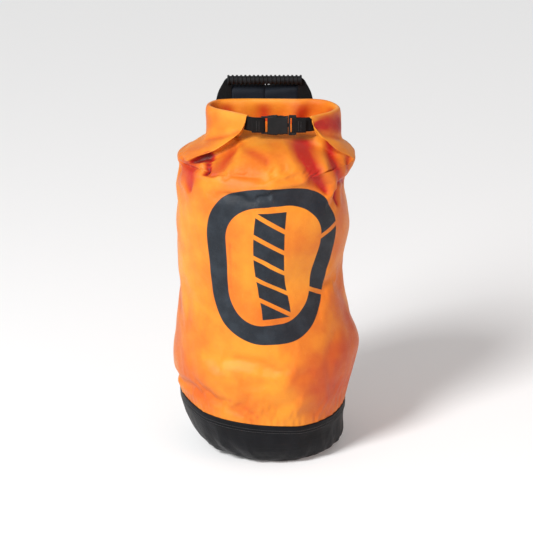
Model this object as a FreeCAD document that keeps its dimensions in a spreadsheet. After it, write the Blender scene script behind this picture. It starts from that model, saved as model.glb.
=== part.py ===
"""Roll-top rope bag of about 40 litres, standing, packed full, closed by a side-release buckle.

Row frame: millimetres, +Z up, the bag stands on z = 0, its front (the buckle) faces -Y, and its back,
with the carrying handle and the two shoulder straps, faces +Y. The origin is the middle of the base.
Soft pieces are plain solids of the right size and place; webbing and fabric are drawn thicker than cloth.
"""
import FreeCAD, Part
import math
import os

import Sketcher

from FreeCAD import Placement, Rotation, Vector

X_AXIS = Vector(1, 0, 0)
Y_AXIS = Vector(0, 1, 0)
Z_AXIS = Vector(0, 0, 1)
SIDES = {"left": -1, "right": 1}

doc = FreeCAD.newDocument("rope_bag")
dims = doc.addObject("Spreadsheet::Sheet", "dims")

# The bag's body is a stack of ellipses: height, shift to the right, half width (X) and half depth (Y).
STATIONS = {
    "foot": (3, 20, 113, 112),
    "heel": (15, 13, 128, 127),
    "ankle": (44, 4, 145, 143),
    "seam": (82, -1, 153, 149),
    "bulge": (195, 4, 165, 154),
    "waist": (335, -4, 146, 145),
    "chest": (470, 1, 154, 150),
    "shoulder": (545, 6, 158, 147),
    "yoke_line": (568, 14, 145, 122),
    "neck": (585, 18, 124, 72),
}
DRIVING = {
    "base_thickness": 3,
    "base_wall_thickness": 2.4,
    "fabric_thickness": 2,
    "roll_thickness": 12,
    "roll_height": 59,
    "roll_clearance": 0.4,
    "stiffener_thickness": 1.2,
    "stiffener_height": 22,
    "stiffener_slot": 2.2,
    "web_width": 25,
    "web_thickness": 1.6,
    "buckle_height": 36,
    "buckle_middle": 629,
    "buckle_depth": 62,
    "back_centre": 2,
    "yoke_front": 67.4,
    "yoke_thickness": 2.1,
    "yoke_half_width": 97,
    "yoke_top": 611,
    "handle_spread": 81,
    "handle_hinge_height": 612,
    "handle_web_thickness": 2.2,
    "grip_middle_height": 677.5,
    "grip_length": 136,
    "grip_core_radius": 7.4,
    "grip_rib_radius": 9.3,
    "grip_rib_width": 4,
    "grip_rib_count": 18,
    "strap_width": 57,
    "strap_gap": 3,
    "strap_top_thickness": 7,
    "strap_pad_thickness": 12,
    "strap_slant": 16,
    "strap_hinge_height": 553,
    "strap_hinge_depth": 158,
    "lock_width": 35,
    "lock_height": 30,
    "lock_thickness": 3.6,
    "lock_bar_height": 218,
    "lock_bar_depth": 162,
    "anchor_width": 44,
    "anchor_height": 34,
    "anchor_offset": 118,
    "anchor_turn": 48,
}


def fill_sheet():
    cells = dict(DRIVING)
    for station, values in STATIONS.items():
        for word, value in zip(("height", "shift", "half_width", "half_depth"), values):
            cells[f"{station}_{word}"] = value
    for line, (alias, value) in enumerate(cells.items(), start=1):
        dims.set(f"A{line}", alias.replace("_", " "))
        dims.set(f"B{line}", str(value))
        dims.setAlias(f"B{line}", alias)
    doc.recompute()


def dim(alias):
    return float(dims.get(alias))


def bind(thing, **expressions):
    """Binds properties to the sheet; a double underscore stands for a dot in a property's path."""
    for path, text in expressions.items():
        thing.setExpression(path.replace("__", "."), text)
    return thing


def solid_shown(thing, label):
    """Marks a document object as a sub-part: its label names its file."""
    thing.Label = label
    sub_parts.append(thing)
    return thing


# ---------------------------------------------------------------- lofted shells of the bag's body

def ellipse(station, name, inset="0", drop="0"):
    ring = doc.addObject("Part::Ellipse", name)
    return bind(
        ring,
        MajorRadius=f"dims.{station}_half_width - {inset}",
        MinorRadius=f"dims.{station}_half_depth - {inset}",
        Placement__Base__x=f"dims.{station}_shift",
        Placement__Base__z=f"dims.{station}_height - {drop}",
    )


def loft(name, rings):
    body = doc.addObject("Part::Loft", name)
    body.Sections = rings
    body.Solid = True
    body.Ruled = False
    return body


def shell(label, stations, wall, capped=False):
    """A tube of fabric through the stations, open at the bottom, and at the top unless it is capped."""
    last = stations[-1]
    outer = loft(f"{label}_outer", [ellipse(s, f"{label}_{s}_out") for s in stations])
    inner_rings = []
    for s in stations:
        lowered = wall if capped and s == last else "0"
        inner_rings.append(ellipse(s, f"{label}_{s}_in", inset=wall, drop=lowered))
    cut = doc.addObject("Part::Cut", label)
    cut.Base = outer
    cut.Tool = loft(f"{label}_inner", inner_rings)
    return solid_shown(cut, label)


def base_disc():
    rim = ellipse("foot", "base_disc_rim", drop="dims.base_thickness")
    disc = doc.addObject("Part::Extrusion", "base_disc")
    disc.Base = rim
    disc.DirMode = "Custom"
    disc.Dir = Z_AXIS
    disc.Solid = True
    bind(disc, LengthFwd="dims.base_thickness")
    return solid_shown(disc, "base_disc")


# ---------------------------------------------------------------- bands: a path, thickened, then extruded

def rounded_path(points, share):
    """Straight runs joined by tangent arcs whose tangent length is a share of the shorter run."""
    geometry = []
    start = Vector(*points[0], 0)
    for before, corner, after in zip(points, points[1:], points[2:]):
        a, b, c = (Vector(*p, 0) for p in (before, corner, after))
        back, ahead = a - b, c - b
        tangent = share * min(back.Length, ahead.Length)
        back.normalize()
        ahead.normalize()
        half_turn = (math.pi - back.getAngle(ahead)) / 2
        radius = tangent / math.tan(half_turn)
        middle = back + ahead
        middle.normalize()
        middle = b + middle * (radius / math.cos(half_turn) - radius)
        arc_start, arc_end = b + back * tangent, b + ahead * tangent
        if (arc_start - start).Length > 1e-6:
            geometry.append(Part.LineSegment(start, arc_start))
        geometry.append(Part.Arc(arc_start, middle, arc_end))
        start = arc_end
    geometry.append(Part.LineSegment(start, Vector(*points[-1], 0)))
    return geometry


def band(label, points, thickness, width, placement, share=0.45, shown=True):
    """A band along a path drawn in the sketch plane, thickness across the path, width out of the plane."""
    sketch = doc.addObject("Sketcher::SketchObject", f"{label}_path")
    sketch.addGeometry(rounded_path(points, share), False)
    sketch.Placement = placement
    outline = doc.addObject("Part::Offset2D", f"{label}_outline")
    outline.Source = sketch
    outline.Mode = "Pipe"
    outline.Join = "Arc"
    outline.Fill = True
    bind(outline, Value=f"({thickness}) / 2")
    strip = doc.addObject("Part::Extrusion", label)
    strip.Base = outline
    strip.DirMode = "Custom"
    strip.Dir = placement.Rotation.multVec(Z_AXIS)
    strip.Solid = True
    bind(strip, LengthFwd=width)
    if shown:
        solid_shown(strip, label)
    return strip


def level(height):
    """A sketch plane parallel to the ground: sketch x is X, sketch y is Y."""
    return Placement(Vector(0, 0, height), Rotation())


def upright(offset):
    """A sketch plane facing +X at that offset: sketch x is Y, sketch y is Z."""
    return Placement(Vector(offset, 0, 0), Rotation(Vector(1, 1, 1), 120))


# The rolled mouth, seen from above: it opens to the front, where the buckle bridges its two ends.
ROLL_LEFT_PATH = [(-28, -50), (-106, 14), (-86, 61), (54, 61)]
ROLL_RIGHT_PATH = [(66.8, 61), (110, 61), (145, 0), (84, -60)]


def rolled_mouth():
    for side, path, lift in (
        ("left", ROLL_LEFT_PATH, "0"),
        ("right", ROLL_RIGHT_PATH, "dims.roll_clearance"),
    ):
        bottom = level(dim("neck_height") + (0 if side == "left" else dim("roll_clearance")))
        name = f"mouth_roll_{side}"
        roll = band(
            f"{name}_full", path, "dims.roll_thickness", f"dims.roll_height - {lift}", bottom, shown=False
        )
        middle = dim("neck_height") + dim("roll_height") / 2
        # The pocket in the roll is a little longer than the stiffener that lies in it.
        slot_level = level(middle - dim("stiffener_height") / 2 - 1)
        hollow = "dims.stiffener_height + 2"
        pocket = band(f"{name}_pocket", path, "dims.stiffener_slot", hollow, slot_level, shown=False)
        cut = doc.addObject("Part::Cut", name)
        cut.Base, cut.Tool = roll, pocket
        solid_shown(cut, name)
        band(
            f"mouth_stiffener_{side}",
            path,
            "dims.stiffener_thickness",
            "dims.stiffener_height",
            level(middle - dim("stiffener_height") / 2),
        )


# ---------------------------------------------------------------- the front buckle and its two webbing tabs

def plane_of(body, role):
    return next(f for f in body.Origin.OriginFeatures if f.Role == role)


def sketch_in(body, name, role, offset=0.0):
    sketch = body.newObject("Sketcher::SketchObject", name)
    sketch.AttachmentSupport = [(plane_of(body, role), "")]
    sketch.MapMode = "FlatFace"
    sketch.AttachmentOffset = Placement(Vector(0, 0, offset), Rotation())
    return sketch


def rectangle(sketch, low_x, low_y, high_x, high_y, bound=None):
    """A closed rectangle with coincident corners; bound gives its width and height as expressions."""
    corners = [Vector(low_x, low_y, 0), Vector(high_x, low_y, 0)]
    corners += [Vector(high_x, high_y, 0), Vector(low_x, high_y, 0)]
    first = sketch.GeometryCount
    for a, b in zip(corners, corners[1:] + corners[:1]):
        sketch.addGeometry(Part.LineSegment(a, b), False)
    for k in range(4):
        sketch.addConstraint(Sketcher.Constraint("Coincident", first + k, 2, first + (k + 1) % 4, 1))
    for k in range(4):
        sketch.addConstraint(Sketcher.Constraint("Horizontal" if k % 2 == 0 else "Vertical", first + k))
    sketch.addConstraint(Sketcher.Constraint("DistanceX", -1, 1, first, 1, low_x))
    sketch.addConstraint(Sketcher.Constraint("DistanceY", -1, 1, first, 1, low_y))
    width = sketch.addConstraint(Sketcher.Constraint("DistanceX", first, 1, first, 2, high_x - low_x))
    tall = high_y - low_y
    height = sketch.addConstraint(Sketcher.Constraint("DistanceY", first + 1, 1, first + 1, 2, tall))
    if bound:
        sketch.setExpression(f"Constraints[{width}]", bound[0])
        sketch.setExpression(f"Constraints[{height}]", bound[1])
    return first


def outline(sketch, points):
    for a, b in zip(points, points[1:] + points[:1]):
        sketch.addGeometry(Part.LineSegment(Vector(*a, 0), Vector(*b, 0)), False)


def pad(body, sketch, length, name, midplane=True):
    feature = body.newObject("PartDesign::Pad", name)
    feature.Profile = sketch
    if midplane:
        feature.SideType = "Symmetric"
    if isinstance(length, str):
        bind(feature, Length=length)
    else:
        feature.Length = length
    doc.recompute()
    return feature


def pocket(body, sketch, length, name):
    """Cuts both ways from the sketch, and stops if nothing was cut."""
    before = body.Shape.Volume
    feature = body.newObject("PartDesign::Pocket", name)
    feature.Profile = sketch
    feature.SideType = "Symmetric"
    feature.Length = length
    doc.recompute()
    if body.Shape.Volume > before - 1e-3:
        raise SystemExit(f"{body.Name}: {name} cut nothing")
    return feature


def fillet(body, radius, wanted, name="round"):
    """Rounds the edges that wanted(edge) picks."""
    base = body.Tip
    edges = [f"Edge{k + 1}" for k, e in enumerate(base.Shape.Edges) if wanted(e)]
    feature = body.newObject("PartDesign::Fillet", name)
    feature.Base = (base, edges)
    feature.Radius = radius
    doc.recompute()
    return feature


def along(edge, axis):
    """Whether an edge is straight and lies along an axis."""
    if edge.Curve.TypeId != "Part::GeomLine":
        return False
    return abs(edge.Curve.Direction.dot(axis)) > 0.999


def new_body(label):
    body = doc.addObject("PartDesign::Body", label)
    return solid_shown(body, label)


# Distances along the buckle are X in the row frame; heights are from its middle; depths are from its middle.
FEMALE_BAR_START, FEMALE_BODY_START, FEMALE_MOUTH = -4, 7, 44
MALE_START, MALE_SLOT_START, MALE_SLOT_END, MALE_END = 44.5, 48, 55, 59
FEMALE_THICKNESS, MALE_THICKNESS, CAVITY_THICKNESS = 11.4, 9.4, 6.8
BAR_THICKNESS, SLOT_HALF_HEIGHT = 5, 13.4
CAVITY_HALF_HEIGHT, CAVITY_START = 14.4, 12
WINDOW_START, WINDOW_END, WAIST_HALF_HEIGHT = 25, 39, 15.6


def buckle_place():
    return Placement(Vector(0, -dim("buckle_depth"), dim("buckle_middle")), Rotation())


def buckle_female():
    body = new_body("buckle_female")
    half = dim("buckle_height") / 2
    # The socket: full height at the closed end, drawn in beside the two side windows.
    sketch = sketch_in(body, "socket_outline", "XZ_Plane")
    top = [
        (FEMALE_BODY_START, half - 1.5),
        (WINDOW_START - 2, half),
        (WINDOW_START + 2, WAIST_HALF_HEIGHT + 0.8),
        (WINDOW_END, WAIST_HALF_HEIGHT),
        (FEMALE_MOUTH, WAIST_HALF_HEIGHT + 0.9),
    ]
    outline(sketch, top + [(x, -z) for x, z in reversed(top)])
    pad(body, sketch, FEMALE_THICKNESS, "socket")

    def rounded(edge):
        return along(edge, X_AXIS) or edge.Length > 3 and abs(edge.tangentAt(0).y) < 0.01

    fillet(body, 2.2, rounded, "socket_round")
    # The bar that the webbing loops round, in a thinner frame.
    sketch = sketch_in(body, "bar_outline", "XZ_Plane")
    rectangle(sketch, FEMALE_BAR_START, -half + 2.2, FEMALE_BODY_START + 3, half - 2.2)
    pad(body, sketch, BAR_THICKNESS, "bar_frame")
    sketch = sketch_in(body, "web_slot_outline", "XZ_Plane")
    rectangle(sketch, FEMALE_BAR_START + 3, -SLOT_HALF_HEIGHT, FEMALE_BODY_START, SLOT_HALF_HEIGHT)
    pocket(body, sketch, 40, "web_slot")
    # The cavity for the prongs, and the windows through which their pads stand out.
    sketch = sketch_in(body, "cavity_outline", "XZ_Plane")
    rectangle(sketch, CAVITY_START, -CAVITY_HALF_HEIGHT, FEMALE_MOUTH + 2, CAVITY_HALF_HEIGHT)
    pocket(body, sketch, CAVITY_THICKNESS, "cavity")
    sketch = sketch_in(body, "window_outline", "XZ_Plane")
    rectangle(sketch, WINDOW_START, -half - 2, WINDOW_END, half + 2)
    pocket(body, sketch, CAVITY_THICKNESS, "windows")
    body.Placement = buckle_place()


def buckle_male():
    body = new_body("buckle_male")
    half = dim("buckle_height") / 2
    sketch = sketch_in(body, "shoulder_outline", "XZ_Plane")
    top = [(MALE_START, half - 2.4), (MALE_START + 2, half), (MALE_SLOT_START, half)]
    outline(sketch, top + [(x, -z) for x, z in reversed(top)])
    pad(body, sketch, MALE_THICKNESS, "shoulder")
    fillet(body, 1.2, lambda e: along(e, X_AXIS), "shoulder_round")
    # The bar that the webbing loops round, in a thinner frame.
    sketch = sketch_in(body, "male_frame_outline", "XZ_Plane")
    top = [(MALE_SLOT_START - 1.5, half), (MALE_END - 1.5, half), (MALE_END, half - 2)]
    outline(sketch, top + [(x, -z) for x, z in reversed(top)])
    pad(body, sketch, BAR_THICKNESS, "male_frame")
    sketch = sketch_in(body, "male_slot_outline", "XZ_Plane")
    rectangle(sketch, MALE_SLOT_START, -SLOT_HALF_HEIGHT, MALE_SLOT_END, SLOT_HALF_HEIGHT)
    pocket(body, sketch, 40, "male_slot")
    # The guide tongue between the two prongs.
    sketch = sketch_in(body, "tongue_outline", "XZ_Plane")
    outline(sketch, [(MALE_START + 1, -3), (MALE_START + 1, 3), (23, 2), (20, 1), (20, -1), (23, -2)])
    pad(body, sketch, 3, "tongue")
    body.Placement = buckle_place()


PRONG_ROOT = (43.6, 11)


def prong(name, sign):
    """A sprung arm whose pad stands out of the side window and catches behind the socket's mouth."""
    body = new_body(name)
    sketch = sketch_in(body, f"{name}_outline", "XZ_Plane")
    shape = [
        (PRONG_ROOT[0], 8.6),
        (PRONG_ROOT[0], 13.2),
        (WINDOW_END - 0.6, 13.4),
        (WINDOW_END - 1, 15.6),
        (WINDOW_END - 4, 16.7),
        (WINDOW_START + 4, 17.2),
        (WINDOW_START + 0.6, 14.2),
        (WINDOW_START - 5, 10.5),
        (WINDOW_START - 5, 8.6),
        (WINDOW_START + 5, 10.4),
    ]
    outline(sketch, [(x, sign * z) for x, z in shape])
    pad(body, sketch, 5.6, f"{name}_arm")
    fillet(body, 0.8, lambda e: along(e, Y_AXIS) and e.CenterOfMass.z * sign > 15, f"{name}_round")
    body.Placement = buckle_place()


def webbing_tabs():
    """Each tab comes out of the roll's end, loops round its buckle half's bar and is sewn back on itself."""
    leg = 2.9 + 0.8
    depth = -dim("buckle_depth")
    low = level(dim("buckle_middle") - dim("web_width") / 2)
    left_turn, right_turn = 0.9, 53.1
    left = [(-22.3, -55.4), (-16, depth + leg), (left_turn, depth + leg)]
    left += [(left_turn, depth - leg), (-19, depth - leg)]
    right = [(76.3, depth + leg), (right_turn, depth + leg), (right_turn, depth - leg), (74, depth - leg)]
    band("buckle_webbing_left", left, "dims.web_thickness", "dims.web_width", low)
    band("buckle_webbing_right", right, "dims.web_thickness", "dims.web_width", low)


# ---------------------------------------------------------------- the back: yoke, handle, shoulder straps

def plate(label, low, size):
    """An upright or level plate from its lowest corner and its size, each a sheet expression or a number."""
    box = doc.addObject("Part::Box", label)
    for axis, text in zip("xyz", low):
        box.setExpression(f"Placement.Base.{axis}", text)
    for name, text in zip(("Length", "Width", "Height"), size):
        box.setExpression(name, text)
    return solid_shown(box, label)


def back_yoke():
    plate(
        "back_yoke",
        ("dims.back_centre - dims.yoke_half_width", "dims.yoke_front", "dims.neck_height"),
        ("2 * dims.yoke_half_width", "dims.yoke_thickness", "dims.yoke_top - dims.neck_height"),
    )


def web_section(name, centre, width, thickness, turn=0.0, slant=0.0):
    """A flat rectangular section of webbing, level, turned about Z, its right end raised by the slant."""
    sketch = doc.addObject("Sketcher::SketchObject", name)
    rectangle(sketch, -width / 2, -thickness / 2, width / 2, thickness / 2)
    sketch.Placement = Placement(Vector(*centre), Rotation(Z_AXIS, turn) * Rotation(Y_AXIS, slant))
    return sketch


TAB_LENGTH = 22
HINGE_GAP = 1.3
FOLDED_WIDTH, FOLDED_THICKNESS = 11, 4.2


def handle():
    front = dim("yoke_front") + dim("yoke_thickness")
    middle = front + dim("handle_web_thickness") / 2
    hinge, top = dim("handle_hinge_height"), dim("grip_middle_height")
    spread, centre = dim("handle_spread"), dim("back_centre")
    width = dim("web_width")
    grip_half = dim("grip_length") / 2
    for side, sign in SIDES.items():
        plate(
            f"handle_tab_{side}",
            (
                f"dims.back_centre + {sign} * dims.handle_spread - dims.web_width / 2",
                "dims.yoke_front + dims.yoke_thickness",
                f"dims.handle_hinge_height - {TAB_LENGTH}",
            ),
            ("dims.web_width", "dims.handle_web_thickness", f"{TAB_LENGTH}"),
        )
    arms = []
    for side, sign in SIDES.items():
        foot_place = (centre + sign * spread, middle, hinge + HINGE_GAP)
        foot = web_section(f"handle_{side}_foot", foot_place, width, dim("handle_web_thickness"))
        knee = web_section(
            f"handle_{side}_knee", (centre + sign * (grip_half + 10), middle, top - 16), 19, 3
        )
        head_place = (centre + sign * (grip_half + 6.5), middle, top - 1)
        head = web_section(f"handle_{side}_head", head_place, FOLDED_WIDTH, FOLDED_THICKNESS)
        arm = loft(f"handle_{side}_arm", [foot, knee, head])
        arm.Ruled = True
        arms.append(arm)
    # Inside the grip the webbing is folded lengthwise, and runs straight across.
    run = doc.addObject("Part::Box", "handle_run")
    run.Length, run.Width, run.Height = 2 * grip_half + 24, FOLDED_THICKNESS, FOLDED_WIDTH
    start = (centre - grip_half - 12, middle - FOLDED_THICKNESS / 2, top - FOLDED_WIDTH / 2)
    run.Placement.Base = Vector(*start)
    fuse = doc.addObject("Part::MultiFuse", "handle_webbing")
    fuse.Shapes = arms + [run]
    solid_shown(fuse, "handle_webbing")
    grip(Vector(centre, middle, top))


def grip(place):
    """A ribbed rubber sleeve: a core tube and a row of rings, with a slot for the folded webbing."""
    body = new_body("handle_grip")
    half = dim("grip_length") / 2
    core, rib, width = dim("grip_core_radius"), dim("grip_rib_radius"), dim("grip_rib_width")
    sketch = sketch_in(body, "core_profile", "XY_Plane")
    rectangle(sketch, -half, 0, half, core, ("dims.grip_length", "dims.grip_core_radius"))
    turn = body.newObject("PartDesign::Revolution", "core")
    turn.Profile = sketch
    turn.ReferenceAxis = (sketch, ["H_Axis"])
    turn.Angle = 360
    doc.recompute()
    count = int(dim("grip_rib_count"))
    pitch = (2 * half - width) / (count - 1)
    sketch = sketch_in(body, "rib_profile", "XY_Plane")
    swell = (rib - core) * 0.4
    outline(
        sketch,
        [
            (-half, core - 1),
            (-half, rib - swell),
            (-half + width * 0.3, rib),
            (-half + width * 0.7, rib),
            (-half + width, rib - swell),
            (-half + width, core - 1),
        ],
    )
    ring = body.newObject("PartDesign::Revolution", "rib")
    ring.Profile = sketch
    ring.ReferenceAxis = (sketch, ["H_Axis"])
    ring.Angle = 360
    doc.recompute()
    row = body.newObject("PartDesign::LinearPattern", "ribs")
    row.Originals = [ring]
    row.Direction = (sketch, ["H_Axis"])
    row.Length = pitch * (count - 1)
    row.Occurrences = count
    body.Tip = row
    doc.recompute()
    sketch = sketch_in(body, "slot_profile", "YZ_Plane")
    rectangle(
        sketch,
        -FOLDED_THICKNESS / 2 - 0.2,
        -FOLDED_WIDTH / 2 - 0.2,
        FOLDED_THICKNESS / 2 + 0.2,
        FOLDED_WIDTH / 2 + 0.2,
    )
    pocket(body, sketch, 2 * half + 4, "slot")
    body.Placement = Placement(place, Rotation())


# Shoulder strap, seen from the side (Y, Z): from the yoke over the bag's back shoulder, then down the back.
STRAP_TOP_PATH = [(73.3, 604), (73.3, 649), (82, 661), (92, 659.5), (112, 632), (136, 597), (155, 563)]
STRAP_PAD_PATH = [(161, 538), (168, 490), (170, 400), (168, 310), (163, 240)]
PAD_TO_LOCK = 14.5
STRIP_CLEARANCE = 1.9


def swung(offset_x, sign):
    """The slanted plane that a pad and its hardware lie in: the strap runs outwards as it goes down."""
    pivot = Vector(offset_x, dim("strap_hinge_depth"), dim("strap_hinge_height"))
    turn = Rotation(Y_AXIS, -sign * dim("strap_slant"))
    return Placement(pivot, turn) * Placement(-pivot, Rotation())


def ladder_lock(side, place):
    body = new_body(f"ladder_lock_{side}")
    width, height, thickness = dim("lock_width"), dim("lock_height"), dim("lock_thickness")
    top = 1.6
    bar = 3.4
    sketch = sketch_in(body, f"lock_{side}_outline", "XZ_Plane")
    rectangle(sketch, -width / 2, top - height, width / 2, top, ("dims.lock_width", "dims.lock_height"))
    pad(body, sketch, "dims.lock_thickness", f"lock_{side}_plate")
    fillet(body, 3.5, lambda e: along(e, Y_AXIS), f"lock_{side}_corners")
    slot_height = (height - 3.2 - 2 * bar) / 2
    low = top - 3.2
    for name in ("upper", "lower"):
        sketch = sketch_in(body, f"lock_{side}_{name}", "XZ_Plane")
        rectangle(sketch, -SLOT_HALF_HEIGHT, low - slot_height, SLOT_HALF_HEIGHT, low)
        pocket(body, sketch, 12, f"lock_{side}_{name}_slot")
        low -= slot_height + bar
    # The lip that a thumb lifts to let the webbing run.
    sketch = sketch_in(body, f"lock_{side}_lip_outline", "YZ_Plane")
    foot = top - height
    outline(
        sketch,
        [
            (-thickness / 2, foot),
            (-thickness / 2, foot + 3),
            (thickness / 2, foot + 3),
            (thickness / 2 + 3.4, foot - 3.5),
            (thickness / 2 + 1.6, foot - 4.6),
        ],
    )
    pad(body, sketch, SLOT_HALF_HEIGHT * 2 - 4, f"lock_{side}_lip")
    body.Placement = place


def shoulder_strap(side, sign):
    width = dim("strap_width")
    middle = dim("back_centre") + sign * (width + dim("strap_gap")) / 2
    top_start = upright(middle - width / 2)
    band(f"strap_top_{side}", STRAP_TOP_PATH, "dims.strap_top_thickness", "dims.strap_width", top_start)
    slanted = swung(middle, sign)
    band(
        f"strap_pad_{side}",
        STRAP_PAD_PATH,
        "dims.strap_pad_thickness",
        "dims.strap_width",
        slanted * upright(middle - width / 2),
        share=0.45,
    )
    web_start = slanted * upright(middle - dim("web_width") / 2)
    bar_y, bar_z = dim("lock_bar_depth"), dim("lock_bar_height")
    loop = 3.6
    band(
        f"strap_loop_{side}",
        [(bar_y - loop, bar_z + PAD_TO_LOCK), (bar_y - loop, bar_z - loop), (bar_y + loop, bar_z - loop),
         (bar_y + loop, bar_z + PAD_TO_LOCK)],
        "dims.web_thickness",
        "dims.web_width",
        web_start,
        share=0.499,
    )
    ladder_lock(side, slanted * Placement(Vector(middle, bar_y, bar_z), Rotation()))
    # The free webbing turns round the lock's middle bar, and its tail hangs outside.
    near, far = bar_y - 1.8 - STRIP_CLEARANCE, bar_y + 1.8 + STRIP_CLEARANCE
    crest = bar_z - 8.9
    band(
        f"adjuster_tail_{side}",
        [(near, crest - 22), (near, crest), (far, crest), (far + 6, crest - 40), (far + 3, crest - 78)],
        "dims.web_thickness",
        "dims.web_width",
        web_start,
        share=0.45,
    )
    lower_webbing(side, sign, slanted, middle, near, crest - 24)


def lower_webbing(side, sign, slanted, middle, near, height):
    """The run from the adjuster down to its anchor in the base seam, with half a twist on the way."""
    web, thick = dim("web_width"), dim("web_thickness")
    turn = -sign * dim("anchor_turn")
    start = slanted.multVec(Vector(middle, near, height))
    seam_x = sign * dim("anchor_offset") + dim("seam_shift")
    across = dim("anchor_offset") / dim("seam_half_width")
    seam_y = dim("seam_half_depth") * math.sqrt(1 - across**2)
    angle = math.radians(dim("anchor_turn"))
    outward = Vector(sign * math.sin(angle), math.cos(angle), 0)
    foot = Vector(seam_x, seam_y, dim("seam_height") + 8) + outward * 9
    top = web_section(f"lower_{side}_top", start, web, thick, slant=-sign * dim("strap_slant"))
    low = web_section(f"lower_{side}_foot", foot + Vector(0, 0, 6), web, thick, turn=turn)
    run = loft(f"lower_webbing_{side}", [top, low])
    run.Ruled = True
    solid_shown(run, f"lower_webbing_{side}")
    anchor(side, foot, turn, thick)


def anchor(side, foot, turn, thick):
    """A sewn triangle of webbing that holds the strap to the base seam."""
    body = new_body(f"strap_anchor_{side}")
    half, tall = dim("anchor_width") / 2, dim("anchor_height")
    web = dim("web_width") / 2
    sketch = sketch_in(body, f"anchor_{side}_outline", "XZ_Plane")
    outline(sketch, [(-half, -tall), (half, -tall), (web, 4), (-web, 4)])
    pad(body, sketch, 2.4, f"anchor_{side}_patch")
    body.Placement = Placement(foot, Rotation(Z_AXIS, turn))


# ---------------------------------------------------------------- build, check and write

sub_parts = []
fill_sheet()
base_disc()
shell("base_wall", ["foot", "heel", "ankle", "seam"], "dims.base_wall_thickness")
shell("main_panel", ["seam", "bulge", "waist", "chest", "shoulder"], "dims.fabric_thickness")
shell("throat_panel", ["shoulder", "yoke_line", "neck"], "dims.fabric_thickness", capped=True)
rolled_mouth()
buckle_female()
buckle_male()
prong("buckle_prong_upper", 1)
prong("buckle_prong_lower", -1)
webbing_tabs()
back_yoke()
handle()
for side_name, side_sign in SIDES.items():
    shoulder_strap(side_name, side_sign)
doc.recompute()

failed = [o.Name for o in doc.Objects if "Invalid" in o.State or "Error" in o.State]
if failed:
    raise SystemExit(f"these objects failed: {failed}")
for thing in sub_parts:
    if thing.Shape.isNull() or not thing.Shape.isValid() or not thing.Shape.Solids:
        raise SystemExit(f"{thing.Label} has no valid solid")
os.makedirs("parts", exist_ok=True)
for thing in sub_parts:
    thing.Shape.exportStep(f"parts/{thing.Label}.step")
    print(f"{thing.Label}: {len(thing.Shape.Solids)} solid, {thing.Shape.Volume / 1000:.1f} cm3")
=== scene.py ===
"""The looks of a packed roll-top rope bag: woven cloth, webbing, buckle and grip around the CAD frame.

Everything is in metres in the row frame: +Z up, the bag stands on z = 0 and its front faces -Y.
Shapes are written in millimetres and scaled once, in mesh_object.
"""

import math

import bmesh
import bpy
import numpy as np
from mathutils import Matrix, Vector, noise


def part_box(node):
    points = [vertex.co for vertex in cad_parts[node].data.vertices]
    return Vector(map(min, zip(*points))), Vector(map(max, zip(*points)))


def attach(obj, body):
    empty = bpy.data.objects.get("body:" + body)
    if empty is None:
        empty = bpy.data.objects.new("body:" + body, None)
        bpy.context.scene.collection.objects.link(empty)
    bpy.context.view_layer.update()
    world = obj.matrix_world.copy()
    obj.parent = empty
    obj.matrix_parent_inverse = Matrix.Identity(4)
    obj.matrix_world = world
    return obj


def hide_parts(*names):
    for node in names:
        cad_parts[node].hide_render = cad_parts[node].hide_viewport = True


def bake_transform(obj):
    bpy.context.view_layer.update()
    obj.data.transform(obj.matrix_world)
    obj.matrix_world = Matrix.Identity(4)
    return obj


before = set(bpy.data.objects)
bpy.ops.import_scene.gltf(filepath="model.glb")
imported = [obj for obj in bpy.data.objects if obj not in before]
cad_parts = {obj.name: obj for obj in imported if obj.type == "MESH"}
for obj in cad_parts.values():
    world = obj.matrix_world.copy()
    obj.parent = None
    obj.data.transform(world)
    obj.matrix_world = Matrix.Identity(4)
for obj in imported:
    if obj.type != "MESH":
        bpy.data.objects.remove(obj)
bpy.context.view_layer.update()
MM = 0.001


# ------------------------------------------------------------------ small helpers

def smooth_shade(obj):
    obj.data.polygons.foreach_set("use_smooth", [True] * len(obj.data.polygons))
    obj.data.update()


def mesh_object(name, verts, faces):
    """A new smooth mesh from points in millimetres."""
    mesh = bpy.data.meshes.new(name)
    mesh.from_pydata([tuple(float(c) * MM for c in v) for v in verts], [], faces)
    obj = bpy.data.objects.new(name, mesh)
    bpy.context.scene.collection.objects.link(obj)
    smooth_shade(obj)
    return obj


def grid_faces(rows, columns):
    """Quads over rows of points, each row a loop that closes from its last column to its first."""
    faces = []
    for low in range(0, (rows - 1) * columns, columns):
        high = low + columns
        for j in range(columns):
            k = (j + 1) % columns
            faces.append((low + j, low + k, high + k, high + j))
    return faces


def corner_vertices(obj):
    """The vertex at each face corner."""
    vertex = np.zeros(len(obj.data.loops), dtype=np.int32)
    obj.data.loops.foreach_get("vertex_index", vertex)
    return vertex


def set_grid_uv(obj, around, up):
    """UV in metres of cloth from the millimetres round and up a grid; the closing column carries on past
    the last one."""
    columns = len(around)
    uv = np.stack(np.broadcast_arrays(around[None, :], up[:, None]), 2).reshape(-1, 2) * MM
    girth = (around.max() + around[1] - 2 * around[0]) * MM
    vertex = corner_vertices(obj)
    data = uv[vertex]
    for face in obj.data.polygons:
        corners = slice(face.loop_start, face.loop_start + face.loop_total)
        column = vertex[corners] % columns
        if len(column) == 4 and column.max() - column.min() > columns // 2:
            data[corners, 0] += np.where(column < columns // 2, girth, 0)
    obj.data.uv_layers.new(name="cloth").data.foreach_set("uv", data.ravel())


def point_values(obj, name, values):
    """A number at each point, for a material's attribute node to read."""
    layer = obj.data.attributes.new(name, "FLOAT", "POINT")
    layer.data.foreach_set("value", np.asarray(values, float).ravel())


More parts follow.
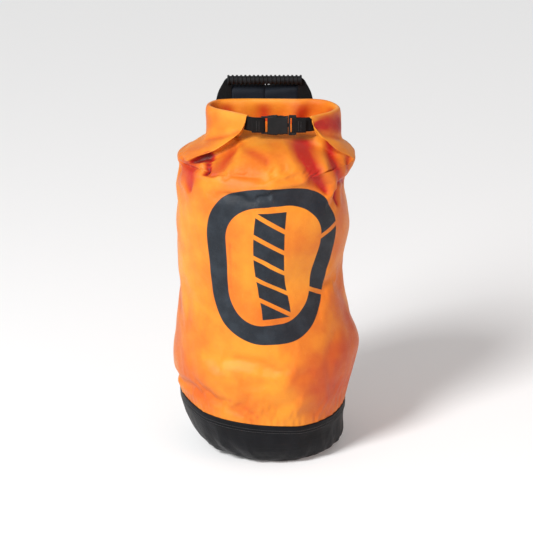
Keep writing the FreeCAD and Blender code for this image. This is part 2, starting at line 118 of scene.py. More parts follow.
def apply_modifiers(obj):
    bpy.context.view_layer.update()
    graph = bpy.context.evaluated_depsgraph_get()
    source = obj.evaluated_get(graph)
    made = bpy.data.meshes.new_from_object(source, depsgraph=graph, preserve_all_data_layers=True)
    old = obj.data
    obj.modifiers.clear()
    obj.data = made
    bpy.data.meshes.remove(old)


def thicken(obj, thickness, subdivisions=0):
    """The sheet, made finer and then given a thickness, in millimetres, on its inner side."""
    if subdivisions:
        finer = obj.modifiers.new("finer", "SUBSURF")
        finer.levels = finer.render_levels = subdivisions
    solid = obj.modifiers.new("thickness", "SOLIDIFY")
    solid.thickness, solid.offset, solid.use_even_offset = thickness * MM, -1, False
    apply_modifiers(obj)
    smooth_shade(obj)


def smoothstep(a, b, x):
    t = np.clip((np.asarray(x, float) - a) / (b - a), 0, 1)
    return t * t * (3 - 2 * t)


def bump(x, centre, width):
    return np.exp(-(((np.asarray(x, float) - centre) / width) ** 2))


def curve_through(points, knots, at):
    """Values at parameters `at` of a smooth curve through points at increasing knots; any trailing shape."""
    p = np.asarray(points, float)
    k = np.asarray(knots, float)
    shape = [-1] + [1] * (p.ndim - 1)
    h = (k[1:] - k[:-1]).reshape(shape)
    d = (p[1:] - p[:-1]) / h
    slopes = np.zeros_like(p)
    slopes[1:-1] = (d[:-1] * h[1:] + d[1:] * h[:-1]) / (h[:-1] + h[1:])
    slopes[0], slopes[-1] = d[0], d[-1]
    at = np.asarray(at, float)
    i = np.clip(np.searchsorted(k, at, side="right") - 1, 0, len(k) - 2)
    span = (k[i + 1] - k[i]).reshape(shape)
    t = (at - k[i]).reshape(shape) / span
    h00, h10 = 2 * t**3 - 3 * t**2 + 1, t**3 - 2 * t**2 + t
    h01, h11 = -2 * t**3 + 3 * t**2, t**3 - t**2
    return h00 * p[i] + h10 * span * slopes[i] + h01 * p[i + 1] + h11 * span * slopes[i + 1]


def arc_lengths(p):
    return np.concatenate([[0], np.cumsum(np.linalg.norm(np.diff(p, axis=0), axis=1))])


def evenly(points, t, offset=0.0):
    """Points at shares t of a smooth line through given points, moved level to its left by offset."""
    p = np.asarray(points, float)
    knots = arc_lengths(p)
    dense = curve_through(p, knots, np.linspace(0, knots[-1], 500))
    s = arc_lengths(dense)
    s = s / s[-1]
    t = np.asarray(t, float)

    def read(x):
        return np.stack([np.interp(np.clip(x, 0, 1), s, dense[:, c]) for c in range(3)], 1)

    out = read(t)
    d = read(t + 0.006) - read(t - 0.006)
    d = d[:, :2] / np.maximum(np.linalg.norm(d[:, :2], axis=1), 1e-9)[:, None]
    out[:, 0] -= d[:, 1] * offset
    out[:, 1] += d[:, 0] * offset
    return out


def fractal(points, size, seed):
    """Smooth noise between about -1 and 1 over a grid of points in millimetres, with features of that size."""
    shift = Vector((seed * 17.3, seed * 5.1, seed * 9.7))
    roughness, detail_ratio, octaves = 1.0, 2.0, 3
    values = [noise.fractal(Vector(p) / size + shift, roughness, detail_ratio, octaves)
              for p in points.reshape(-1, 3)]
    return np.array(values).reshape(points.shape[:-1])


def levelled(path, z):
    return [(x, y, z) for x, y in path]


# ------------------------------------------------------------------ the body's cloth, as loops round the bag

COLUMNS = 240
FRONT_COLUMN = COLUMNS // 2
U = np.arange(COLUMNS) / COLUMNS  # 0 back, 0.25 left fold, 0.5 front, 0.75 right fold
FOLD = math.radians(112)  # azimuth of the two side folds, from the back
AZIMUTH = np.interp(U, [0, 0.25, 0.5, 0.75, 1], [0, FOLD, math.pi, 2 * math.pi - FOLD, 2 * math.pi])
OUTWARD = np.stack([-np.sin(AZIMUTH), np.cos(AZIMUTH), 0 * AZIMUTH], 1)
BACK = (U <= 0.25) | (U >= 0.75)
# Share along the roll: from its left end in front, round the back, to its right end in front.
T = np.where(BACK, np.where(U <= 0.25, (0.25 - U) / 0.5, (1.25 - U) / 0.5), (U - 0.25) / 0.5)

BASE_SEAM, SHOULDER = 82, 520  # heights
# Height, left edge, right edge, front depth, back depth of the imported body.
PROFILE = [
    (3, -91, 132, -112, 116),
    (9, -106, 141, -122, 124),
    (18, -116, 145, -131, 131),
    (32, -131, 147, -140, 140),
    (48, -143, 148, -145, 145),
    (64, -151, 149.5, -148, 148),
    (82, -153.5, 150.5, -149.5, 149),
    (110, -155.5, 154, -151, 150),
    (133, -153.5, 158, -152, 151),
    (150, -159, 161.5, -154, 152),
    (165, -161, 165, -155, 153),
    (182, -162, 168, -155, 154),
    (197, -160.5, 169.5, -154, 154),
    (218, -157.5, 165, -152, 152),
    (250, -155, 154, -149, 150),
    (281, -152, 146.5, -146, 148),
    (312, -149, 143, -144, 146),
    (335, -149, 141.5, -143, 145),
    (358, -150, 142, -144, 145),
    (389, -151.5, 148, -146, 146),
    (420, -153.5, 154.5, -149, 148),
    (460, -154, 155, -151, 150),
    (498, -155, 153, -151, 150),
    (520, -155.5, 156, -149, 149),
]


SEAM_RISE_X = [-153, -139, -110, -80, -40, 8, 38, 67, 97, 126, 141, 153]
SEAM_RISE = [22, 18, 8, 5, 2, -2, -5, -9, -9, -7, -3, 0]


def oval(middle, half_width, front, back, z):
    x, y = OUTWARD[:, 0], OUTWARD[:, 1]
    return np.stack([middle + half_width * x, np.where(y < 0, front, back) * y, np.full(COLUMNS, float(z))], 1)


def body_loop(z):
    table = np.array(PROFILE, float)
    left, right, front, back = curve_through(table[:, 1:], table[:, 0], np.atleast_1d(z))[0]
    return oval((left + right) / 2, (right - left) / 2, -front, back, z)


def seam_rise(points):
    """How much higher the base seam is drawn up at each point's place across the front."""
    return np.interp(points[..., 0], SEAM_RISE_X, SEAM_RISE)


# The roll, from above: its middle line from the left end in front, round the back, to the right end.
ROLL = [
    (-28, -50), (-58, -25.4), (-88, -0.6), (-98.5, 17), (-97, 36), (-84, 55), (-62, 61), (0, 62), (60, 61),
    (91, 60.5), (108, 55.5), (120, 44), (129.5, 27), (134, 3), (123, -22), (84, -60),
]
RIM_Z = 645
# Outside, over the rim, then down inside: row, height, distance outside the line, height of the hidden
# layer, and the share cut back from each end.
ROLL_LEVELS = [
    (648, 637, 5.6, 604, 0.0), (655, 643.2, 3.6, 620, 0.0), (659, RIM_Z, 0.2, 634, 0.0),
    (663, 643.2, -3.4, 626, 0.0), (669, 637, -5.4, 618, 0.004), (690, 616, -5.0, 612, 0.05),
    (712, 596, -4.4, 606, 0.10),
]
# The shoulder and the throat below the roll: row, how much of each end closes up, then the back layer's
# line and the front layer's. The side folds turn forward and up, and the front layer tucks in under them.
THROAT_LEVELS = [
    (574, 0.0,
     [(-134, -64, 566), (-141, -20, 569), (-126, 36, 573), (-88, 84, 577), (-10, 100, 581), (80, 94, 578),
      (136, 56, 573), (163, 8, 567), (162, -36, 560)],
     [(-134, -64, 566), (-112, -86, 561), (-88, -110, 562), (-45, -124, 568), (12, -128, 571),
      (70, -121, 569), (112, -98, 564), (138, -66, 560), (162, -36, 560)]),
    (600, 0.0,
     [(-90, -78, 584), (-107, -38, 586), (-107.5, 8, 588), (-92, 60, 589), (-60, 71, 590), (0, 71, 590),
      (80, 70, 590), (122, 52, 589), (141, 10, 588), (142, -32, 586), (130, -60, 582)],
     [(-90, -78, 584), (-76, -66, 582), (-55, -78, 586), (-20, -92, 592), (15, -94, 593), (60, -90, 592),
      (88, -76, 587), (112, -54, 582), (130, -60, 582)]),
    (624, 0.06,
     [(-46, -64, 612), (-68, -40, 612), (-96, -8, 611), (-104, 18, 611), (-101, 40, 612), (-87, 60, 612),
      (-62, 67, 612), (60, 67, 612), (94, 66, 612), (112, 60, 612), (125, 47, 612), (138, 24, 611),
      (141, 0, 610), (130, -32, 610), (104, -63, 611)],
     [(-46, -60, 610), (-52, -44, 602), (-34, -40, 600), (10, -42, 603), (50, -42, 603), (84, -44, 602),
      (104, -59, 609)]),
]


def throat_loop(near, back_path, front_path):
    """One loop of two layers, both left to right; near is the share of each end of the front layer that
    closes up to the back layer at the side folds."""
    back, front = evenly(back_path, T), evenly(front_path, T)
    if near:
        ends, own = evenly(back_path, [0, 1]), evenly(front_path, [0, 1])
        left, right = 1 - smoothstep(0, near, T), smoothstep(1 - near, 1, T)
        front = front + left[:, None] * (ends[0] - own[0]) + right[:, None] * (ends[1] - own[1])
    return np.where(BACK[:, None], back, front)


def roll_loop(row, z, out, hidden_z, cut):
    """A loop of the roll: the visible flap behind, and its hidden layer in front, both along ROLL."""
    wave = 1.6 * np.sin(2 * math.pi * T * 4.5 + 0.6) + 1.0 * np.sin(2 * math.pi * T * 9 + 2.0)
    wave = wave * smoothstep(0.18, 0.36, T) * (1 - smoothstep(0.78, 0.92, T))
    path = levelled(ROLL, z)
    back = evenly(path, T * (1 - 2 * cut) + cut, out)
    back[:, 1] += wave * (0.25 + 2.1 * smoothstep(658, 700, row))
    inner = evenly(levelled(ROLL, hidden_z), T, 0.8)
    left, right = evenly(path, [cut, 1 - cut], out)
    for end, weight in ((left, 1 - smoothstep(0, 0.05, T)), (right, smoothstep(0.95, 1, T))):
        inner = inner + weight[:, None] * (end - inner)
    return np.where(BACK[:, None], back, inner)


def cloth_grid():
    """Rows of loops from the base seam to the hem inside the roll; each row is COLUMNS points."""
    levels = [(z, body_loop(z)) for z in range(BASE_SEAM, SHOULDER, 12)]
    levels += [(SHOULDER, body_loop(SHOULDER)), (548, oval(5.5, 159.5, 143, 144, 548))]
    levels += [(row, throat_loop(*shape)) for row, *shape in THROAT_LEVELS]
    levels += [(level[0], roll_loop(*level)) for level in ROLL_LEVELS]
    rows = np.concatenate([np.arange(BASE_SEAM, 500, 7.0), np.arange(500, 648, 4.0), np.arange(648, 672, 3.0),
                           np.arange(672, 713, 8.0)])
    return rows, curve_through([loop for _, loop in levels], [row for row, _ in levels], rows)


rows, grid = cloth_grid()
ROWS = len(rows)


def settle(obj, pin, frames, slack, pressure, cap, stiffness=15, bending=0.5):
    """Lets cloth find its wrinkles: it grows by slack, is held by pin, and no point moves further than cap."""
    group = obj.vertex_groups.new(name="pin")
    for index, weight in enumerate(pin):
        if weight > 0:
            group.add([index], float(weight), "REPLACE")
    before = np.array([v.co for v in obj.data.vertices], float)
    cloth = obj.modifiers.new("cloth", "CLOTH")
    s = cloth.settings
    s.quality = 6
    s.mass = 0.25
    s.air_damping = 4
    s.tension_stiffness = s.compression_stiffness = stiffness
    s.shear_stiffness = stiffness * 0.6
    s.bending_stiffness = bending
    s.shrink_min = -slack
    s.use_pressure = pressure != 0
    s.uniform_pressure_force = pressure
    s.vertex_group_mass = "pin"
    s.pin_stiffness = 2
    s.effector_weights.gravity = 0
    cloth.collision_settings.use_collision = False
    cloth.point_cache.frame_start, cloth.point_cache.frame_end = 1, frames
    for step in range(1, frames + 1):
        bpy.context.scene.frame_set(step)
    apply_modifiers(obj)
    bpy.context.scene.frame_set(1)
    move = np.array([v.co for v in obj.data.vertices], float) - before
    keep = np.minimum(1, cap / np.maximum(np.linalg.norm(move, axis=1), 1e-9))
    obj.data.vertices.foreach_set("co", (before + move * keep[:, None]).ravel())
    obj.data.update()


# ------------------------------------------------------------------ materials

class Finish:
    """One node material, grown around its own shader."""

    def __init__(self, name, roughness, **constants):
        self.material = bpy.data.materials.new(name)
        self.material.use_nodes = True
        self.tree = self.material.node_tree
        self.shader = self.tree.nodes["Principled BSDF"]
        self.set("Roughness", roughness)
        for key, value in constants.items():
            self.set(key.replace("_", " "), value)

    def set(self, socket, value):
        self.put(self.shader.inputs[socket], value)

    def put(self, socket, value):
        if isinstance(value, bpy.types.NodeSocket):
            self.tree.links.new(value, socket)
        else:
            socket.default_value = value

    def math(self, operation, *values, clamp=False):
        node = self.tree.nodes.new("ShaderNodeMath")
        node.operation, node.use_clamp = operation, clamp
        for socket, value in zip(node.inputs, values):
            self.put(socket, value)
        return node.outputs[0]

    def uv(self):
        """Metres along the cloth."""
        node = self.tree.nodes.new("ShaderNodeUVMap")
        node.uv_map = "cloth"
        return node.outputs[0]

    def place(self):
        """Metres in space."""
        return self.tree.nodes.new("ShaderNodeTexCoord").outputs["Object"]

    def split(self, vector):
        node = self.tree.nodes.new("ShaderNodeSeparateXYZ")
        self.put(node.inputs[0], vector)
        return node.outputs

    def attribute(self, name):
        node = self.tree.nodes.new("ShaderNodeAttribute")
        node.attribute_name = name
        return node.outputs["Fac"]

    def noise(self, vector, scale, detail=3.0, roughness=0.55):
        node = self.tree.nodes.new("ShaderNodeTexNoise")
        self.put(node.inputs["Vector"], vector)
        for key, value in (("Scale", scale), ("Detail", detail), ("Roughness", roughness)):
            node.inputs[key].default_value = value
        return node.outputs[0]

    def span(self, value, low, high, to_low=0.0, to_high=1.0):
        """Eased from to_low to to_high as the value goes from low to high."""
        node = self.tree.nodes.new("ShaderNodeMapRange")
        node.interpolation_type = "SMOOTHSTEP"
        for socket, item in zip(node.inputs, (value, low, high, to_low, to_high)):
            self.put(socket, item)
        return node.outputs[0]

    def mix(self, share, first, second):
        node = self.tree.nodes.new("ShaderNodeMix")
        node.data_type = "RGBA"
        self.put(node.inputs[0], share)
        for socket, value in ((node.inputs[6], first), (node.inputs[7], second)):
            self.put(socket, value if isinstance(value, bpy.types.NodeSocket) else (*value, 1))
        return node.outputs[2]

    def relief(self, height, depth, below=None):
        node = self.tree.nodes.new("ShaderNodeBump")
        node.inputs["Strength"].default_value = 1.0
        node.inputs["Distance"].default_value = depth
        self.put(node.inputs["Height"], height)
        if below is not None:
            self.put(node.inputs["Normal"], below)
        return node.outputs[0]

    def ripple(self, value, period, phase=0.0):
        return self.math("SINE", self.math("MULTIPLY_ADD", value, 2 * math.pi / period, phase))


def plain_weave(finish, u, v, pitch):
    """Threads over and under each other, one bump per crossing."""
    return finish.math("MULTIPLY", finish.ripple(u, 2 * pitch), finish.ripple(v, 2 * pitch))


EMBLEM_U, EMBLEM_V = 0.021, 0.389  # its middle on the cloth
RING_HALF_WIDTH, RING_HALF_HEIGHT, RING_CORNER, STROKE = 0.100, 0.128, 0.082, 0.036
RING_TAPER = 0.9
GATE_CUTS = ((0.052, 0.45), (-0.066, -0.45))  # height and slope of the two slits that part the gate
SLIT_HALF, SLIT_FROM = 0.0042, 0.02
ROPE_HALF, ROPE_TURN, ROPE_SLOPE, ROPE_CLEAR = 0.027, 0.040, 0.62, 0.010
SWAY_PERIOD, SWAY_PHASE, SWAY = 0.30, 0.6, 0.010
STRAND_WIDTH, STRAND_GAP = 0.034, 0.0035
INK_EDGE = 0.0007


def emblem_mask(f, u, v):
    """A rounded ring with a gate and a rope run through it, drawn as distances in metres of cloth."""
    def size(value):
        return f.math("ABSOLUTE", value)

    x, y = f.math("ADD", u, -EMBLEM_U), f.math("ADD", v, -EMBLEM_V)
    wide = f.math("DIVIDE", x, f.math("MULTIPLY_ADD", y, RING_TAPER, 1.0))
    qx = f.math("SUBTRACT", size(wide), RING_HALF_WIDTH - RING_CORNER)
    qy = f.math("SUBTRACT", size(y), RING_HALF_HEIGHT - RING_CORNER)
    px, py = (f.math("POWER", f.math("MAXIMUM", q, 0.0), 2.0) for q in (qx, qy))
    outside = f.math("SQRT", f.math("ADD", px, py))
    inside = f.math("MINIMUM", f.math("MAXIMUM", qx, qy), 0.0)
    line = f.math("SUBTRACT", f.math("ADD", outside, inside), RING_CORNER)
    ring = f.math("SUBTRACT", STROKE / 2, size(line))
    for height, slope in GATE_CUTS:
        level = f.math("SUBTRACT", y, height - slope * RING_HALF_WIDTH)
        slit = f.math("SUBTRACT", size(f.math("MULTIPLY_ADD", x, -slope, level)), SLIT_HALF)
        ring = f.math("MINIMUM", ring, f.math("MAXIMUM", slit, f.math("SUBTRACT", SLIT_FROM, x)))
    sway = f.math("MULTIPLY_ADD", f.ripple(y, SWAY_PERIOD, SWAY_PHASE), SWAY, x)
    rope = f.math("SUBTRACT", ROPE_HALF, size(sway))
    turn = f.math("FRACT", f.math("DIVIDE", f.math("MULTIPLY_ADD", sway, ROPE_SLOPE, y), ROPE_TURN))
    strand = f.math("SUBTRACT", 0.5, size(f.math("SUBTRACT", turn, 0.5)))
    strand = f.math("MULTIPLY_ADD", strand, STRAND_WIDTH, -STRAND_GAP)
    clear = f.math("SUBTRACT", RING_HALF_HEIGHT - STROKE / 2 - ROPE_CLEAR, size(y))
    rope = f.math("MINIMUM", f.math("MINIMUM", rope, strand), clear)
    return f.math("DIVIDE", f.math("MAXIMUM", ring, rope), INK_EDGE, clamp=True)


ORANGE_LOW, ORANGE_HIGH = (0.63, 0.146, 0.010), (0.76, 0.272, 0.019)
# Painted shade: the reddish tone of shaded folds, and the near-black painted shadow of the deepest creases.
FOLD_SHADE_RED, DEEP_FOLD_SHADOW = (0.44, 0.016, 0.008), (0.045, 0.008, 0.006)
FADED, RUBBED = (0.95, 0.48, 0.16), (0.90, 0.42, 0.13)
INK_LOW, INK_HIGH, INK_FLECK = (0.008, 0.012, 0.018), (0.018, 0.025, 0.034), (0.09, 0.10, 0.12)


def orange_finish():
    """Coated polyester: a fine weave under a satin film, reddened by painted shade in its folds and near black
    in its deepest creases by painted shadow, scuffed here and there, with the emblem printed on its front.
    Its painted-shade attribute is 1 where the shade is fully reddish and 2 where the painted shadow is deepest."""
    f = Finish("orange_cloth", 0.42, Sheen_Weight=0.04, Sheen_Roughness=0.4, Specular_IOR_Level=0.28)
    flat, solid = f.uv(), f.place()
    u, v = f.split(flat)[:2]
    cloud, fine = f.noise(solid, 9.0, 4.0), f.noise(solid, 260.0, 3.0, 0.6)
    fold_shade = f.attribute("fold_shade")
    colour = f.mix(f.span(cloud, 0.35, 0.68), ORANGE_LOW, ORANGE_HIGH)
    # Painted shade: reddish in the folds, then near black where the painted shadow of the deepest creases
    # falls.
    colour = f.mix(f.math("MULTIPLY", fold_shade, 1.0, clamp=True), colour, FOLD_SHADE_RED)
    colour = f.mix(f.math("SUBTRACT", fold_shade, 1.0, clamp=True), colour, DEEP_FOLD_SHADOW)
    colour = f.mix(f.span(fine, 0.55, 0.80, 0.0, 0.10), colour, FADED)
    colour = f.mix(f.attribute("wear"), colour, RUBBED)
    normal = f.relief(f.noise(solid, 55.0, 4.0, 0.5), 0.0011)
    normal = f.relief(plain_weave(f, u, v, 0.0011), 0.00010, normal)
    rough = f.span(fine, 0.3, 0.75, 0.34, 0.52)
    chipped = f.span(f.noise(flat, 420.0, 2.0), 0.22, 0.30, 0.86, 1.0)
    mask = f.math("MULTIPLY", emblem_mask(f, u, v), chipped)
    ink = f.mix(f.span(f.noise(flat, 30.0, 4.0), 0.35, 0.7), INK_LOW, INK_HIGH)
    ink = f.mix(f.span(f.noise(flat, 700.0, 2.0), 0.62, 0.72, 0.0, 0.25), ink, INK_FLECK)
    f.set("Base Color", f.mix(mask, colour, ink))
    f.set("Roughness", f.math("MULTIPLY_ADD", mask, 0.10, rough))
    f.set("Normal", f.relief(mask, 0.00018, normal))
    return f.material


def black_finish(name, low, high, pitch, depth, roughness, grid=0.0):
    """Dark woven cloth; grid is the spacing of its heavier threads."""
    f = Finish(name, roughness, Sheen_Weight=0.02, Sheen_Roughness=0.45, Specular_IOR_Level=0.12)
    flat = f.uv()
    u, v = f.split(flat)[:2]
    weave = plain_weave(f, u, v, pitch)
    colour = f.mix(f.span(f.noise(flat, 14.0, 4.0), 0.3, 0.7), low, high)
    # Painted highlight: the weave's raised crossings are lighter.
    colour = f.mix(f.span(weave, 0.2, 1.0, 0.0, 0.35), colour, tuple(c * 2.2 for c in high))
    f.set("Base Color", f.mix(f.attribute("wear"), colour, (0.05, 0.05, 0.053)))
    if grid:
        across, along = (f.math("ABSOLUTE", f.ripple(way, 2 * grid)) for way in (u, v))
        heavy = f.span(f.math("MAXIMUM", across, along), 0.97, 1.0)
        weave = f.math("MULTIPLY_ADD", heavy, 0.8, weave)
    f.set("Normal", f.relief(weave, depth, f.relief(f.noise(flat, 60.0, 4.0), 0.0009)))
    return f.material


def webbing_finish(name, low, high):
    """Polyester webbing: ribs along its length, crossed by a slanted twill, with plain selvedges."""
    f = Finish(name, 0.62, Sheen_Weight=0.04, Sheen_Roughness=0.5, Specular_IOR_Level=0.14)
    flat = f.uv()
    u, v = f.split(flat)[:2]
    chevron = f.math("MULTIPLY_ADD", f.math("ABSOLUTE", f.ripple(u, 0.0084)), 0.0013, v)
    height = f.math("MULTIPLY_ADD", f.ripple(chevron, 0.0019), 0.55, f.ripple(u, 0.0021))
    # Painted light and shade: lighter on the ribs, darker between them.
    colour = f.mix(f.span(height, -1.0, 1.4), low, high)
    lint = f.span(f.noise(flat, 900.0, 2.0), 0.62, 0.8, 0.0, 0.3)
    f.set("Base Color", f.mix(lint, colour, (0.03, 0.03, 0.031)))
    f.set("Normal", f.relief(height, 0.00022, f.relief(f.noise(flat, 80.0, 3.0), 0.0005)))
    return f.material


def moulded_finish(name, low, high, grain, depth, roughness, **constants):
    """Moulded plastic or rubber: an even spark-eroded grain, duller in patches, with a painted highlight on the
    high points of its grain.
    """
    f = Finish(name, roughness, **constants)
    place = f.place()
    grit = f.noise(place, grain, 4.0, 0.6)
    patch = f.noise(place, 70.0, 4.0)
    colour = f.mix(f.span(patch, 0.35, 0.7), low, high)
    # Painted highlight on the grain's high points.
    colour = f.mix(f.span(grit, 0.62, 0.80, 0.0, 0.35), colour, tuple(c * 3 for c in high))
    f.set("Base Color", colour)
    f.set("Roughness", f.span(patch, 0.3, 0.7, roughness - 0.08, roughness + 0.08))
    f.set("Normal", f.relief(grit, depth))
    return f.material


def thread_finish(name, low, high):
    """Twisted sewing thread, its plies slanting round it."""
    f = Finish(name, 0.55, Sheen_Weight=0.3)
    x, y, z = f.split(f.place())
    ply = f.ripple(f.math("ADD", f.math("ADD", x, y), z), 0.0006)
    # Painted light and shade: lighter on the plies, darker between them.
    f.set("Base Color", f.mix(f.span(ply, -0.6, 0.8), low, high))
    f.set("Normal", f.relief(ply, 0.00008))
    return f.material


orange = orange_finish()
base_cloth = black_finish("base_cloth", (0.0022, 0.0026, 0.0034), (0.0065, 0.007, 0.009),
                          pitch=0.0014, depth=0.00016, roughness=0.44, grid=0.011)
strap_cloth = black_finish("strap_cloth", (0.0035, 0.0052, 0.0088), (0.009, 0.0125, 0.019),
                           pitch=0.0012, depth=0.00014, roughness=0.58)
webbing = webbing_finish("webbing_black", (0.0015, 0.0015, 0.0018), (0.006, 0.006, 0.0068))
plastic = moulded_finish("acetal_black", (0.0024, 0.0025, 0.0028), (0.006, 0.006, 0.0066),
                         grain=1500.0, depth=0.00006, roughness=0.40, Specular_IOR_Level=0.28)
rubber = moulded_finish("rubber_black", (0.0035, 0.0038, 0.0045), (0.008, 0.0085, 0.010),
                        grain=2600.0, depth=0.00010, roughness=0.62, Specular_IOR_Level=0.22)
stiff_plastic = moulded_finish("stiffener_black", (0.02, 0.02, 0.022), (0.035, 0.035, 0.038),
                               grain=1200.0, depth=0.00008, roughness=0.5)
black_thread = thread_finish("thread_black", (0.006, 0.006, 0.007), (0.026, 0.026, 0.028))
# ------------------------------------------------------------------ the body's folds

def grid_normals(p):
    """Outward normals of a grid of loops."""
    along = np.roll(p, -1, axis=1) - np.roll(p, 1, axis=1)
    n = np.cross(np.gradient(p, axis=0), along)
    n /= np.maximum(np.linalg.norm(n, axis=2, keepdims=True), 1e-9)
    body_middle = np.array([5.0, 0.0])
    outwards = ((p[..., :2] - body_middle) * n[..., :2]).sum(axis=2)[: ROWS // 2].mean()
    return n if outwards > 0 else -n


def streak(flat, line, widths, flatness=2.0):
    """Weight near a drawn line in the front plane; its half width changes from point to point."""
    best = np.zeros(flat.shape[:2])
    line = np.array(line, float)
    for (a, b), (wa, wb) in zip(zip(line[:-1], line[1:]), zip(widths[:-1], widths[1:])):
        d = b - a
        t = np.clip(((flat - a) @ d) / (d @ d), 0, 1)
        near = np.linalg.norm(flat - (a + t[..., None] * d), axis=2)
        width = wa + (wb - wa) * t
        best = np.maximum(best, np.exp(-((near / width) ** flatness)))
    return best


# Each fold: its line in the front plane, half widths along it, depth inward, share of painted reddish shade,
# flatness. Folds with no depth are painted shade alone.
FRONT_FOLDS = [
    ([(60, 566), (78, 521), (97, 480), (113, 452)], (22, 22, 14, 4), 6.0, 1.1, 3),
    ([(102, 558), (106, 511), (121, 474)], (6, 9, 7), -3.0, 0.0, 2),
    ([(116, 545), (129, 505), (137, 470)], (8, 11, 6), 4.0, 1.0, 2),
    ([(-135, 502), (-131, 480), (-130, 456)], (21, 14, 4), 4.5, 0.85, 3),
    ([(-52, 540), (-69, 516), (-90, 490)], (7, 16, 12), 6.0, 0.70, 3),
    ([(-45, 549), (-28, 531), (4, 512)], (5, 9, 8), 1.6, 0.50, 2),
    ([(10, 556), (30, 525), (38, 500)], (14, 16, 10), 1.5, 0.28, 2),
    ([(-132, 514), (-112, 517), (-93, 521)], (2.4, 5.0, 5.5), 11.0, 1.9, 2),
    ([(-132, 507), (-112, 505), (-99, 508)], (3.5, 4.5, 3.5), -4.5, 0.0, 2),
    ([(-97, 512), (-99, 498), (-102, 486)], (3.0, 4.4, 3.2), 9.0, 1.75, 2),
    ([(-90, 512), (-92, 488)], (4, 5), -3.0, 0.2, 2),
    ([(-106, 482), (-89, 478), (-74, 481)], (4, 5, 4), -3.5, 0.0, 2),
    ([(-64, 508), (-56, 520), (-62, 490)], (5, 6, 5), -2.5, 0.0, 2),
    ([(155, 477), (133, 468)], (3.4, 3.0), 6.0, 1.6, 2),
    ([(133, 468), (131, 442), (134, 430)], (3.2, 3.6, 1.5), 7.0, 1.4, 2),
    ([(124, 468), (121, 442)], (6, 6), -3.0, 0.0, 2),
    ([(154, 520), (152, 496)], (7, 3), 3.5, 0.8, 2),
    ([(-70, 380), (-66, 327), (-67, 276)], (4, 5, 3), 2.2, 0.30, 2),
    ([(-56, 360), (-55, 286)], (3, 3), 1.6, 0.22, 2),
    ([(-49, 158), (-10, 148), (36, 133)], (6, 7, 4), 2.2, 0.22, 2),
    ([(-60, 140), (-20, 128), (20, 116)], (6, 8, 4), -1.8, 0.0, 2),
    ([(-92, 76), (-52, 60), (-18, 41)], (6, 7, 4), 2.2, 0.22, 2),
    ([(-128, 160), (-122, 110), (-110, 76)], (7, 9, 5), 1.6, 0.15, 2),
    ([(147, 322), (137, 284), (146, 240)], (10, 9, 8), 2.5, 0.30, 2),
    ([(120, 300), (104, 268), (98, 228)], (7, 9, 5), 1.8, 0.25, 2),
    ([(126, 200), (114, 150), (118, 96)], (8, 10, 6), 2.0, 0.22, 2),
    ([(-140, 300), (-128, 262), (-133, 214)], (7, 8, 5), 1.6, 0.20, 2),
    # The next five are painted shade alone, with no depth: broad reddish patches on the lower right, lower
    # middle and lower left, and down the left edge.
    ([(150, 300), (156, 250), (160, 215)], (10, 26, 16), 0.0, 0.85, 2),
    ([(150, 180), (120, 130), (110, 80)], (30, 62, 50), 0.0, 0.55, 3),
    ([(90, 205), (70, 165), (60, 120)], (26, 30, 20), 0.0, 0.28, 3),
    ([(-150, 250), (-145, 150), (-110, 60)], (14, 30, 34), 0.0, 0.30, 2),
    ([(-160, 470), (-158, 380), (-160, 300)], (8, 10, 8), 0.0, 0.45, 2),
    ([(-60, 80), (-36, 66), (-10, 50)], (2.5, 3.2, 2.0), 1.6, 0.35, 2),
    ([(-130, 130), (-104, 96), (-70, 70)], (3.0, 4.0, 2.0), 2.0, 0.30, 2),
]
WING_FOLDS = [
    # The first is painted shade alone, with no depth.
    ([(96, 576), (116, 580), (144, 582)], (9, 17, 24), 0.0, 1.0, 4),
    ([(80, 587), (92, 575), (112, 562), (140, 556)], (3.0, 5.0, 6.0, 5.0), 5.0, 0.65, 2),
    ([(-106, 553), (-71, 558), (-45, 566)], (3.0, 4.5, 3.0), 3.5, 0.40, 2),
    ([(-120, 530), (-88, 536), (-56, 550)], (8, 9, 6), -2.5, 0.0, 2),
    ([(122, 528), (136, 536), (150, 532)], (7, 8, 6), -3.0, 0.0, 2),
    ([(104, 590), (126, 584), (140, 596)], (9, 10, 6), 2.0, 0.45, 2),
]


LEVEL = np.repeat(rows[:, None], COLUMNS, 1)
RISE_SHARE, DEPTH_SHARE = 0.948, 0.317  # cosine and sine of the photograph's elevation


def folded(p):
    """The grid with its folds pressed in, and how much painted shade each point gets from them."""
    normal = grid_normals(p)
    flat = np.stack([p[..., 0], RISE_SHARE * p[..., 2] + DEPTH_SHARE * p[..., 1]], 2)
    facing = smoothstep(0.05, -0.25, normal[..., 1])
    beside = smoothstep(0.16, 0.22, np.minimum(U, 1 - U))
    front = np.where(BACK, (LEVEL < 566) * beside, 1.0) * (1 - smoothstep(618, 640, LEVEL)) * facing
    wing = BACK * smoothstep(560, 590, LEVEL) * (1 - smoothstep(652, 662, LEVEL)) * facing
    moved, painted_shade = np.zeros_like(LEVEL), np.zeros_like(LEVEL)
    for layer, folds in ((front, FRONT_FOLDS), (wing, WING_FOLDS)):
        for line, widths, depth, share, flatness in folds:
            weight = streak(flat, line, widths, flatness) * layer
            moved += weight * depth
            # Painted shade: each crease's share of reddish shade along its line.
            painted_shade = np.maximum(painted_shade, weight * share)
    return p - normal * moved[..., None], painted_shade


